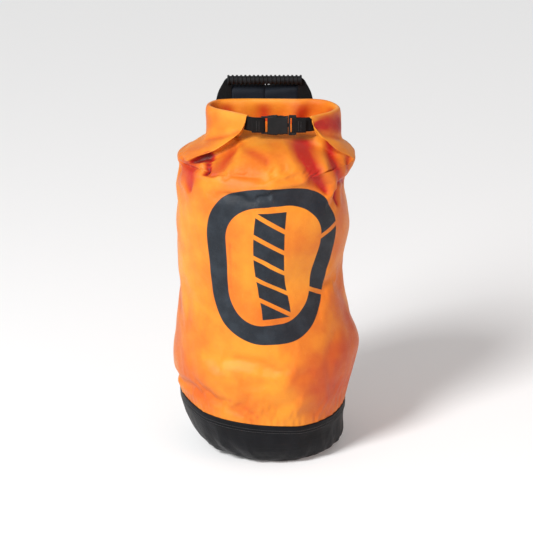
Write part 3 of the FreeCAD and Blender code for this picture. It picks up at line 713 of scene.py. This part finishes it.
def rear_wrinkles(p):
    """Slanting pulls and soft dents on the sides and back, where the load and the straps draw the cloth, and
    painted shade along the pulls.
    """
    from_back = np.minimum(U, 1 - U)
    behind = 1 - smoothstep(0.20, 0.34, from_back)
    here = behind * (1 - smoothstep(530, 570, LEVEL)) * smoothstep(84, 120, LEVEL)
    slant = np.sin(LEVEL / 34 + 54 * from_back + 1.2 * np.sin(LEVEL / 90))
    pull = np.clip(slant, 0, 1) ** 2
    clouds = fractal(p, 120, 3)
    moved = here * (2.4 * pull * (0.5 + clouds) + 2.2 * np.minimum(clouds, 0.2))
    return p - grid_normals(p) * moved[..., None], 0.35 * here * pull
# The second value is painted shade along the pulls.


def whole_body():
    """The body's grid with all its creases, and its painted shade: 1 where fully reddish, 2 at the painted
    shadow of the deepest creases.
    """
    p, painted_shade = folded(grid)
    p, rear_shade = rear_wrinkles(p)
    below_roll = 1 - smoothstep(560, 600, LEVEL)
    dents = 0.9 * fractal(p, 70, 5) * below_roll * smoothstep(84, 130, LEVEL)
    p = p - grid_normals(p) * dents[..., None]
    p[..., 2] += seam_rise(p) * (1 - smoothstep(BASE_SEAM, 170, LEVEL))
    painted_shade = np.maximum(painted_shade, rear_shade)
    # Painted shade, varied at random where it is not yet full.
    painted_shade = painted_shade * (1 + 0.35 * fractal(p, 24, 8) * (painted_shade < 1))
    # Painted shade in bands round the roll's inner face.
    shade_bands = 0.5 + 0.5 * np.sin(2 * math.pi * T * 6.5 + 1.1)
    painted_shade = np.maximum(painted_shade, smoothstep(664, 676, LEVEL) * (0.15 + 0.70 * shade_bands**2))
    return p, np.clip(painted_shade, 0, 2)


def settled_shift(p, frames, slack, pressure, cap):
    """How a coarser copy of the grid moves when its cloth settles, spread smoothly over the whole grid."""
    step = 2
    coarse = p[::step, ::step]
    count = coarse.shape[1]
    obj = mesh_object("settling", coarse.reshape(-1, 3), grid_faces(len(coarse), count))
    level = LEVEL[::step, ::step].ravel()
    pin = np.maximum(1 - smoothstep(84, 110, level), smoothstep(545, 585, level))
    settle(obj, pin, frames, slack, pressure, cap)
    shift = np.array([v.co for v in obj.data.vertices]).reshape(coarse.shape) / MM - coarse
    bpy.data.objects.remove(obj)
    shift = np.concatenate([shift, shift[:, :1]], 1)
    fine = curve_through(shift, rows[::step], rows)
    fine = curve_through(fine.transpose(1, 0, 2), np.arange(count + 1) * step, np.arange(COLUMNS))
    return fine.transpose(1, 0, 2)


def distance_round(loop):
    return arc_lengths(np.concatenate([loop, loop[:1]]))[:-1]


WAIST_ROW = np.searchsorted(rows, 389)  # the row that the cloth's width is measured along


def make_body():
    p, painted_shade = whole_body()
    p = p + settled_shift(p, frames=18, slack=0.035, pressure=0.5, cap=0.007)
    obj = mesh_object("body_cloth", p.reshape(-1, 3), grid_faces(ROWS, COLUMNS))
    around = distance_round(grid[WAIST_ROW])
    set_grid_uv(obj, around - around[FRONT_COLUMN], arc_lengths(grid[:, FRONT_COLUMN]) + BASE_SEAM)
    # The painted shade, for the orange finish to read.
    point_values(obj, "fold_shade", painted_shade)
    edges = bump(LEVEL, 659, 3.5) + 0.35 * bump(LEVEL, 84, 6)  # the rim of the roll, and the base seam
    point_values(obj, "wear", np.clip(0.55 * edges * (0.3 + fractal(p, 26, 11)), 0, 0.5))
    obj.data.materials.append(orange)
    thicken(obj, 1.0, subdivisions=1)
    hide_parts("main_panel", "throat_panel", "mouth_roll_left", "mouth_roll_right",
                "mouth_stiffener_left", "mouth_stiffener_right")
    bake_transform(obj)


make_body()


# ------------------------------------------------------------------ the base, and its seam

BASE_HEIGHTS = np.array([3, 4.5, 6.5, 9, 12, 16, 21, 27, 34, 42, 50, 58, 66, 72, 76, 79, 82, 84, 86.5, 89])
FOOT_RINGS = [(0.04, 0.6), (0.30, 0.4), (0.62, 0.2), (0.88, 0.0), (0.97, 0.8)]  # share of the edge, height
FOOT_MIDDLE = np.array([20.0, 0.0, 0.0])


def make_base():
    """The black boot of the bag: a heavier cloth, a folded hem over the body, and a round foot."""
    loops = np.stack([body_loop(z) for z in BASE_HEIGHTS])
    heights = BASE_HEIGHTS[:, None]
    low = 1 - smoothstep(0, 60, heights)
    dents = (2.6 + 2.4 * low) * fractal(loops * np.array([1, 1, 0.35]), 34, 21)
    pleats = 1.9 * low * smoothstep(3, 12, heights) * np.sin(AZIMUTH * 17 + 3 * np.sin(AZIMUTH * 3))
    hem = 1.5 * smoothstep(68, 70.5, heights) * (1 - 0.65 * smoothstep(86, 89, heights))
    out = 0.4 + hem + (dents + pleats) * (1 - smoothstep(60, 74, heights))
    loops = loops + OUTWARD * out[..., None]
    loops[..., 2] += seam_rise(loops) * smoothstep(18, BASE_SEAM, heights)
    foot = [(FOOT_MIDDLE + (loops[0] - FOOT_MIDDLE) * share) * [1, 1, 0] + [0, 0, z] for share, z in FOOT_RINGS]
    points = np.concatenate([np.stack(foot), loops])
    sole = tuple(reversed(range(COLUMNS)))
    obj = mesh_object("base_boot", points.reshape(-1, 3), grid_faces(len(points), COLUMNS) + [sole])
    set_grid_uv(obj, distance_round(loops[10]), arc_lengths(points[:, FRONT_COLUMN]))
    scuffed = bump(np.arange(len(points)), 6, 2.2)[:, None] * (0.2 + fractal(points, 18, 31))
    point_values(obj, "wear", np.clip(0.5 * scuffed, 0, 0.35))
    obj.data.materials.append(base_cloth)
    thicken(obj, 1.2)
    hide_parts("base_wall", "base_disc")
    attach(obj, "bag")
    return loops


base_loops = make_base()


# ------------------------------------------------------------------ stitching and bands

STITCH_SIDES = 6
STITCH_RINGS = ((0.0, 0.25), (0.16, 0.85), (0.5, 1.0), (0.84, 0.85), (1.0, 0.25))  # share along, of the girth
STITCH_FACES = grid_faces(len(STITCH_RINGS), STITCH_SIDES) + [
    tuple(reversed(range(STITCH_SIDES))),
    tuple(range((len(STITCH_RINGS) - 1) * STITCH_SIDES, len(STITCH_RINGS) * STITCH_SIDES)),
]


def stitches(name, path, body, slot="webbing", pitch=3.2, length=2.3, radius=0.3):
    """A row of thread: one small rounded capsule per stitch along a path."""
    p = np.asarray(path, float)
    s = arc_lengths(p)
    angles = [2 * math.pi * i / STITCH_SIDES for i in range(STITCH_SIDES)]
    verts, faces = [], []
    for k in range(int(s[-1] / pitch)):
        a = k * pitch + (pitch - length) / 2
        start, end = (np.array([np.interp(v, s, p[:, c]) for c in range(3)]) for v in (a, a + length))
        axis = (end - start) / max(np.linalg.norm(end - start), 1e-9)
        side = np.cross(axis, (0.3, 0.2, 1.0) if abs(axis[2]) < 0.9 else (1.0, 0.2, 0.0))
        side /= np.linalg.norm(side)
        other = np.cross(axis, side)
        faces += [tuple(len(verts) + i for i in face) for face in STITCH_FACES]
        for share, girth in STITCH_RINGS:
            middle = start + (end - start) * share
            verts += [middle + radius * girth * (side * math.cos(t) + other * math.sin(t)) for t in angles]
    obj = mesh_object(name, verts, faces)
    obj.data.materials.append(black_thread)
    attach(obj, body)


def seam_stitches():
    """Two rows through the base's hem, a little proud of its cloth."""
    for row, height in enumerate((74.5, 79.5)):
        loop = np.apply_along_axis(lambda line: np.interp(height, BASE_HEIGHTS, line), 0, base_loops)
        loop = loop + OUTWARD * 0.25
        closed = np.concatenate([loop, loop[:1]])
        stitches(f"seam_stitches_{row + 1}", closed, "bag", "black_fabric", pitch=4.2, length=3.0, radius=0.42)


seam_stitches()


def section(thickness, edge, crown, rim):
    """Points round a band's section: share of its width across, millimetres out. edge is how square its
    rounded edges are, crown its belly, and rim the extra thickness of a binding along both edges."""
    share = np.sin(np.linspace(-math.pi / 2, math.pi / 2, 15))
    body = np.abs(1 - np.abs(share) ** edge) ** (1 / 2.2)
    swell = 1 + crown * (1 - share**2)
    bound = rim * (smoothstep(0.78, 0.84, np.abs(share)) - smoothstep(0.95, 1.0, np.abs(share)))
    top = list(zip(share / 2, thickness / 2 * body * swell + bound))
    return np.array(top + [(a, -h) for a, h in reversed(top[1:-1])])


def smooth_path(points, steps):
    """Steps along a smooth curve through points, whose first three numbers are their place."""
    p = np.asarray(points, float)
    knots = arc_lengths(p[:, :3])
    return curve_through(p, knots, np.linspace(0, knots[-1], steps))


def band(name, points, across, width, thickness, steps, edge=12, crown=0.0, rim=0.0, widths=None, waves=0.0,
         seed=1):
    """A band of webbing or padding along given points, in millimetres. across is the way its width runs,
    one vector or one per point; widths, if it narrows, has one per point too."""
    p = np.asarray(points, float)
    ways = np.broadcast_to(np.asarray(across, float), p.shape)
    sizes = np.full(len(p), float(width)) if widths is None else np.asarray(widths, float)
    dense = smooth_path(np.concatenate([p, ways, sizes[:, None]], 1), steps)
    centre, ways, sizes = dense[:, :3], dense[:, 3:6], dense[:, 6:]
    along = np.gradient(centre, axis=0)
    along /= np.linalg.norm(along, axis=1)[:, None]
    ways = ways - (ways * along).sum(1)[:, None] * along
    ways /= np.linalg.norm(ways, axis=1)[:, None]
    out = np.cross(ways, along)
    ring = section(thickness, edge, crown, rim)
    lengths = arc_lengths(centre)
    to_end = np.minimum(lengths, lengths[-1] - lengths)
    ease = smoothstep(0, 6, lengths) * smoothstep(0, 6, lengths[-1] - lengths)
    ripple = waves * ease * np.sin(lengths / 17 + seed)
    tight = 0.5 + 0.5 * smoothstep(0, thickness * 0.5, to_end)
    lift = ring[:, 1] * tight[:, None] + ripple[:, None]
    verts = centre[:, None] + (ways * sizes)[:, None] * ring[:, :1] + out[:, None] * lift[..., None]
    count = len(ring)
    ends = [tuple(reversed(range(count))), tuple(range((steps - 1) * count, steps * count))]
    obj = mesh_object(name, verts.reshape(-1, 3), grid_faces(steps, count) + ends)
    girth = arc_lengths(ring * [width, 1])
    uv = np.stack(np.broadcast_arrays(girth[None, :], lengths[:, None]), 2).reshape(-1, 2) * MM
    obj.data.uv_layers.new(name="cloth").data.foreach_set("uv", uv[corner_vertices(obj)].ravel())
    point_values(obj, "wear", np.zeros(len(uv)))
    bm = bmesh.new()
    bm.from_mesh(obj.data)
    bmesh.ops.recalc_face_normals(bm, faces=bm.faces)
    bm.to_mesh(obj.data)
    bm.free()
    return obj


def dress(obj, finish, body, node):
    """Finish and smooth shading for a piece; it hides the node it stands for and rides on body, or, given
    (body, body, start, end), is only baked where it stands.
    """
    obj.data.materials.append(finish)
    smooth_shade(obj)
    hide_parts(node)
    if isinstance(body, str):
        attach(obj, body)
    else:
        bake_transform(obj)


# ------------------------------------------------------------------ webbing, handle and shoulder straps

def box_mm(node):
    low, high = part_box(node)
    return np.array(low) * 1000, np.array(high) * 1000


def middle_mm(node):
    return sum(box_mm(node)) / 2


UP, ALONG_X = (0, 0, 1), (1, 0, 0)
WEB, WEB_THICK = 25.0, 1.8
FLAT_WEB = 2.4  # thickness of the handle's and yoke's webbing
SIDES = {"left": -1, "right": 1}
BUCKLE_Y, BUCKLE_Z = middle_mm("buckle_female")[1], middle_mm("buckle_webbing_left")[2]
BUCKLE_LEG = 3.7  # half the distance between the two layers of a tab
NEAR, FAR = BUCKLE_Y - BUCKLE_LEG, BUCKLE_Y + BUCKLE_LEG
# Each tab: from deep inside its wing, round the buckle's bar and back to where it is sewn down.
BUCKLE_TABS = {
    "left": ("bag", (-8, -12.5), [
        (-56, -27), (-46, -35.3), (-36, -43.5), (-27, -51), (-19, -56.6), (-12, FAR), (-3, FAR),
        (1.4, FAR - 1.2), (2.6, BUCKLE_Y), (1.4, NEAR + 1.2), (-3, NEAR), (-14, NEAR), (-21, NEAR + 0.4)]),
    "right": ("roll_end", (62.5, 67), [
        (112, -33), (102, -43), (92, -51.5), (83, -57), (74, FAR), (66, FAR), (57, FAR), (52.6, FAR - 1.2),
        (51.4, BUCKLE_Y), (52.6, NEAR + 1.2), (57, NEAR), (68, NEAR), (76, NEAR + 0.4)]),
}


def buckle_webbings():
    for side, (body, _, path) in BUCKLE_TABS.items():
        piece = band(f"buckle_tab_{side}", levelled(path, BUCKLE_Z), UP, WEB + 1.5, WEB_THICK, 90, edge=14)
        dress(piece, webbing, body, f"buckle_webbing_{side}")
    for side, (body, sewn_at, _) in BUCKLE_TABS.items():
        for k, x in enumerate(sewn_at):
            row = [(x, NEAR - 1.15, BUCKLE_Z - 10.5), (x, NEAR - 1.15, BUCKLE_Z + 10.5)]
            stitches(f"buckle_tab_{side}_stitches_{k + 1}", row, body, radius=0.34)


def handle_tab(side):
    node = f"handle_tab_{side}"
    low, high = box_mm(node)
    x, y, _ = middle_mm(node)
    line = [(x, y, low[2]), (x, y, high[2] - 5), (x, y, high[2])]
    tab = band(f"handle_tab_web_{side}", line, ALONG_X, 26, FLAT_WEB, 24)
    dress(tab, webbing, "bag", node)
    corners = [(-9, 3), (9, 17), (-9, 17), (9, 3), (-9, 3)]
    cross = [(x + a, high[1] + 0.5, low[2] + b) for a, b in corners]
    stitches(f"handle_tab_stitches_{side}", cross, "bag")


def handle():
    """Wide webbing arms rise from hinged tabs, narrow into the grip and run on through it."""
    low = box_mm("handle_webbing")[0]
    middle = middle_mm("handle_webbing")[1] + 0.3
    centre, _, top = middle_mm("handle_grip")
    foot = low[2] - 1.5
    # Distance from the middle, height, width, and how far the width has turned, in degrees.
    half = [(79.5, foot, 26, 0), (79.2, foot + 6, 26, 0), (77, foot + 16, 28, 3), (74.5, foot + 28, 28, 6),
            (72.5, foot + 41, 25, 16), (69.5, foot + 54, 18, 42), (65, top - 1.5, 13, 72), (58, top, 11.5, 88),
            (40, top, 11, 90), (0, top, 11, 90)]
    path, ways, widths = [], [], []
    for sign, points in ((-1, half), (1, half[-2::-1])):
        for x, z, width, turn in points:
            path.append((centre + sign * x, middle, z))
            ways.append((-sign * math.cos(math.radians(turn)), 0, -math.sin(math.radians(turn))))
            widths.append(width)
    piece = band("handle_arms", path, ways, WEB, FLAT_WEB, 130, widths=widths)
    dress(piece, webbing, "carrying_handle", "handle_webbing")
    for k, (side, sign) in enumerate(SIDES.items()):
        x, y = centre + sign * 79, middle - 1.4
        corners = [(-9, 3), (9, 3), (8, 24), (-8, 24), (-9, 3), (8, 24)]
        box = [(x + a, y, foot + b) for a, b in corners]
        stitches(f"handle_stitches_{k + 1}", box, "carrying_handle")
        handle_tab(side)


def back_yoke():
    low, high = box_mm("back_yoke")
    _, y, z = middle_mm("back_yoke")
    line = [(low[0], y, z), (0, y + 0.1, z), (high[0], y, z)]
    yoke = band("back_yoke_web", line, UP, high[2] - low[2], FLAT_WEB, 70, waves=0.12)
    dress(yoke, webbing, "bag", "back_yoke")
    for k, height in enumerate((low[2] + 3, high[2] - 3)):
        row = [(x, high[1] + 0.35, height) for x in (low[0] + 3, high[0] - 3)]
        stitches(f"yoke_stitches_{k + 1}", row, "bag", pitch=3.4, length=2.4)


# Lines down the back, as (depth, height), for a strap that hangs straight; slanted() turns them about PIVOT.
STRAP_TOP = [(73.3, 562), (73.3, 604), (73.6, 640), (76.5, 655), (84, 660.6), (94, 657), (112, 632),
             (134, 599), (151, 572), (154.5, 563)]
STRAP_PAD = [(150.5, 575), (155, 563), (159.5, 549), (163.5, 522), (168, 490), (170, 400), (168, 310),
             (164, 262), (163, 241)]
LOOP = [(161.2, 262), (159.6, 246), (158.4, 233), (158.4, 219), (159.6, 215.6), (162, 214.5), (164.4, 215.6),
        (165.6, 219), (165.6, 233), (165.6, 246), (164.8, 262)]
PIVOT_Y, PIVOT_Z = 158.0, 553.0
SLANT = math.radians(16)
CREST = 209.1  # where the free webbing turns over the lock's middle bar
ANCHOR_TURN = math.radians(48)
STRAP_THREAD = {"slot": "strap_fabric", "pitch": 4.0, "length": 2.9, "radius": 0.42}
TOP_SHIFT, TOP_TILT = {"left": -0.2, "right": 0.6}, {"left": 0.0, "right": 0.13}  # how each top lies


def across_strap(side):
    return np.array([math.cos(SLANT), 0, SIDES[side] * math.sin(SLANT)])


def slanted(side, path, offset=0.0):
    """Points of a strap's own line, moved across it by offset."""
    pivot = np.array([middle_mm(f"strap_top_{side}")[0], PIVOT_Y, PIVOT_Z])
    down = np.array([-SIDES[side] * math.sin(SLANT), 0, math.cos(SLANT)])
    aside = across_strap(side) * offset
    return [pivot + down * (z - PIVOT_Z) + aside + [0, y - PIVOT_Y, 0] for y, z in path]


def plump(obj, pressure, cap):
    """The padding swells against its cover, every point held alike and none moving far."""
    held = np.full(len(obj.data.vertices), 0.25)
    settle(obj, held, 10, 0.01, pressure, cap, stiffness=25, bending=4)


def shoulder_strap(side):
    sign, body = SIDES[side], f"shoulder_strap_{side}"
    path, ways = [], []
    for y, z in STRAP_TOP:
        raised = smoothstep(610, 655, z) * (1 - smoothstep(76, 140, y) * 0.9)
        path.append((middle_mm(f"strap_top_{side}")[0] + TOP_SHIFT[side] * raised, y, z + 2.5 * raised))
        ways.append((1, 0, TOP_TILT[side] * raised))
    top = band(f"strap_top_pad_{side}", path, ways, 63, 7.6, 90, edge=9, crown=0.12, rim=0.7, waves=0.25,
               seed=sign)
    plump(top, 1.2, 0.0016)
    dress(top, strap_cloth, "bag", f"strap_top_{side}")
    pad = band(f"strap_back_pad_{side}", slanted(side, STRAP_PAD), across_strap(side), 57, 11.4, 110, edge=5,
               crown=0.10, rim=0.9, waves=0.35, seed=2 + sign)
    plump(pad, 1.6, 0.0022)
    dress(pad, strap_cloth, body, f"strap_pad_{side}")
    for k, edge in enumerate((-22.6, 22.6)):
        line = slanted(side, [(y + 5.9, z) for y, z in STRAP_PAD[3:-1]], edge)
        stitches(f"strap_edge_stitches_{side}_{k + 1}", smooth_path(line, 60), body, **STRAP_THREAD)
    depths, heights = zip(*reversed(STRAP_PAD))
    for k, z in enumerate((500, 430, 360, 290)):
        y = float(np.interp(z, heights, depths)) + 6.5
        ends = [slanted(side, [(y, z)], a)[0] for a in (-21, 0, 21)]
        stitches(f"strap_quilting_{side}_{k + 1}", ends, body, **STRAP_THREAD)
    loop = band(f"strap_loop_web_{side}", slanted(side, LOOP), across_strap(side), WEB - 1, 1.4, 50, edge=14)
    dress(loop, webbing, body, f"strap_loop_{side}")


def adjuster_tail(side, near):
    """The free webbing, over the lock's bar and down outside it to a folded hem."""
    far, body = near + 7.4, f"strap_adjuster_{side}"
    tail = [(near, CREST - 22), (near, CREST - 4), (near + 1.2, CREST - 0.8), ((near + far) / 2, CREST + 0.3),
            (far - 1.2, CREST - 0.8), (far, CREST - 4), (far + 3.2, CREST - 22), (far + 5.4, CREST - 44),
            (far + 3, CREST - 77)]
    piece = band(f"adjuster_tail_web_{side}", slanted(side, tail), across_strap(side), WEB, WEB_THICK, 80,
                 edge=14, waves=0.2)
    dress(piece, webbing, body, f"adjuster_tail_{side}")
    for k, drop in enumerate((66, 71)):
        y = float(np.interp(drop, [44, 77], [far + 5.4, far + 3])) + 1.15
        ends = [slanted(side, [(y, CREST - drop)], a)[0] for a in (-10, 10)]
        stitches(f"tail_hem_stitches_{side}_{k + 1}", ends, body)


def lower_webbing(side, near):
    """The run from the lock, turning as it goes down, to its anchor sewn into the base seam."""
    sign = SIDES[side]
    low, high = box_mm(f"strap_anchor_{side}")
    bottom, top = low[2], high[2]
    foot = middle_mm(f"strap_anchor_{side}")
    foot[2] = box_mm(f"lower_webbing_{side}")[0][2] - 8
    foot_across = np.array([math.cos(ANCHOR_TURN), -sign * math.sin(ANCHOR_TURN), 0])
    outward = np.array([sign * math.sin(ANCHOR_TURN), math.cos(ANCHOR_TURN), 0])
    start = slanted(side, [(near - 0.2, CREST - 18)])[0]
    share = np.linspace(0, 1, 7)[:, None]
    ways = across_strap(side) * (1 - share) + foot_across * share
    path = start + (foot - start) * share
    run = band(f"lower_web_{side}", path, ways, WEB, WEB_THICK, 60, edge=14, waves=0.2)
    bodies = ("bag", f"shoulder_strap_{side}", tuple(foot * MM), tuple(start * MM))
    dress(run, webbing, bodies, f"lower_webbing_{side}")
    line = [(foot[0], foot[1], z) for z in (bottom, bottom + 12, (top + bottom) / 2 + 4, top)]
    patch = band(f"anchor_patch_{side}", line, foot_across, 40, 2.6, 30, widths=[44, 38, 32, 25])
    dress(patch, webbing, "bag", f"strap_anchor_{side}")
    face = (foot + outward * 1.6) * [1, 1, 0]
    corners = [(-19, bottom + 2.5), (19, bottom + 2.5), (11, top - 6), (-11, top - 6), (-19, bottom + 2.5),
               (11, top - 6), (-11, top - 6), (19, bottom + 2.5)]
    box = [face + foot_across * a + [0, 0, z] for a, z in corners]
    stitches(f"anchor_stitches_{side}", box, "bag", radius=0.32)


buckle_webbings()
handle()
back_yoke()
for side in SIDES:
    shoulder_strap(side)
    near = box_mm(f"adjuster_tail_{side}")[0][1] + 0.8
    adjuster_tail(side, near)
    lower_webbing(side, near)


CAD_FINISH = {"buckle": plastic, "ladder": plastic, "handle_grip": rubber, "mouth_stiffener": stiff_plastic}
ORANGE_NODES = ("main_panel", "throat_panel", "mouth_roll_left", "mouth_roll_right")


def dress_cad():
    """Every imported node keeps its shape, and gets a finish of its own."""
    for name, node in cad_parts.items():
        plain = orange if name in ORANGE_NODES else webbing
        finish = next((f for start, f in CAD_FINISH.items() if name.startswith(start)), plain)
        if node.data.materials:
            for slot in node.material_slots:
                slot.material = finish
        else:
            node.data.materials.append(finish)


dress_cad()


# ------------------------------------------------------------------ stage, light and camera

FLOOR_HALF = 6000  # mm
SUN_WAY, SUN_STRENGTH, SUN_ANGLE = Vector((0.50, 0.62, -0.72)), 1.5, math.radians(14)
CAMERA_TARGET, CAMERA_DISTANCE, CAMERA_ELEVATION = Vector((0.0055, 0, 0.342)), 5.0, math.radians(18.5)
LENS, SENSOR = 183.5, 36


def place_in_scene(name, data, place, way):
    """A light or camera at a place, pointing a way."""
    obj = bpy.data.objects.new(name, data)
    obj.location = place
    obj.rotation_euler = way.to_track_quat("-Z", "Y").to_euler()
    bpy.context.scene.collection.objects.link(obj)
    return obj


def area_light(name, place, target, watts, size, colour=(1, 1, 1)):
    light = bpy.data.lights.new(name, "AREA")
    light.energy, light.size, light.color = watts, size, colour
    place_in_scene(name, light, place, Vector(target) - Vector(place))


def lay_floor():
    corners = [(a * FLOOR_HALF, b * FLOOR_HALF, 0) for a, b in ((-1, -1), (1, -1), (1, 1), (-1, 1))]
    floor = mesh_object("floor", corners, [(0, 1, 2, 3)])
    pale = bpy.data.materials.new("floor")
    pale.use_nodes = True
    shader = pale.node_tree.nodes["Principled BSDF"]
    for socket, value in (("Base Color", (0.82, 0.82, 0.82, 1)), ("Roughness", 0.9),
                          ("Emission Color", (1, 1, 1, 1)), ("Emission Strength", 0.12)):
        shader.inputs[socket].default_value = value
    floor.data.materials.append(pale)


def light_and_camera():
    scene = bpy.context.scene
    scene.view_settings.view_transform = "Standard"
    world = bpy.data.worlds.new("studio")
    world.use_nodes = True
    background = world.node_tree.nodes["Background"]
    background.inputs["Color"].default_value = (1, 1, 1, 1)
    background.inputs["Strength"].default_value = 0.42
    scene.world = world
    area_light("key", (-1.6, -2.2, 2.2), (0, 0, 0.4), 80, 1.0)
    sun = bpy.data.lights.new("daylight", "SUN")
    sun.energy, sun.angle = SUN_STRENGTH, SUN_ANGLE
    place_in_scene("daylight", sun, (0, 0, 0), SUN_WAY)
    area_light("fill", (2.4, -1.6, 0.9), (0, 0, 0.35), 16, 1.6, (1.0, 0.45, 0.30))
    back = Vector((0, -math.cos(CAMERA_ELEVATION), math.sin(CAMERA_ELEVATION)))
    lens = bpy.data.cameras.new("camera")
    lens.sensor_width, lens.lens = SENSOR, LENS
    scene.camera = place_in_scene("camera", lens, CAMERA_TARGET + back * CAMERA_DISTANCE, -back)


lay_floor()
light_and_camera()
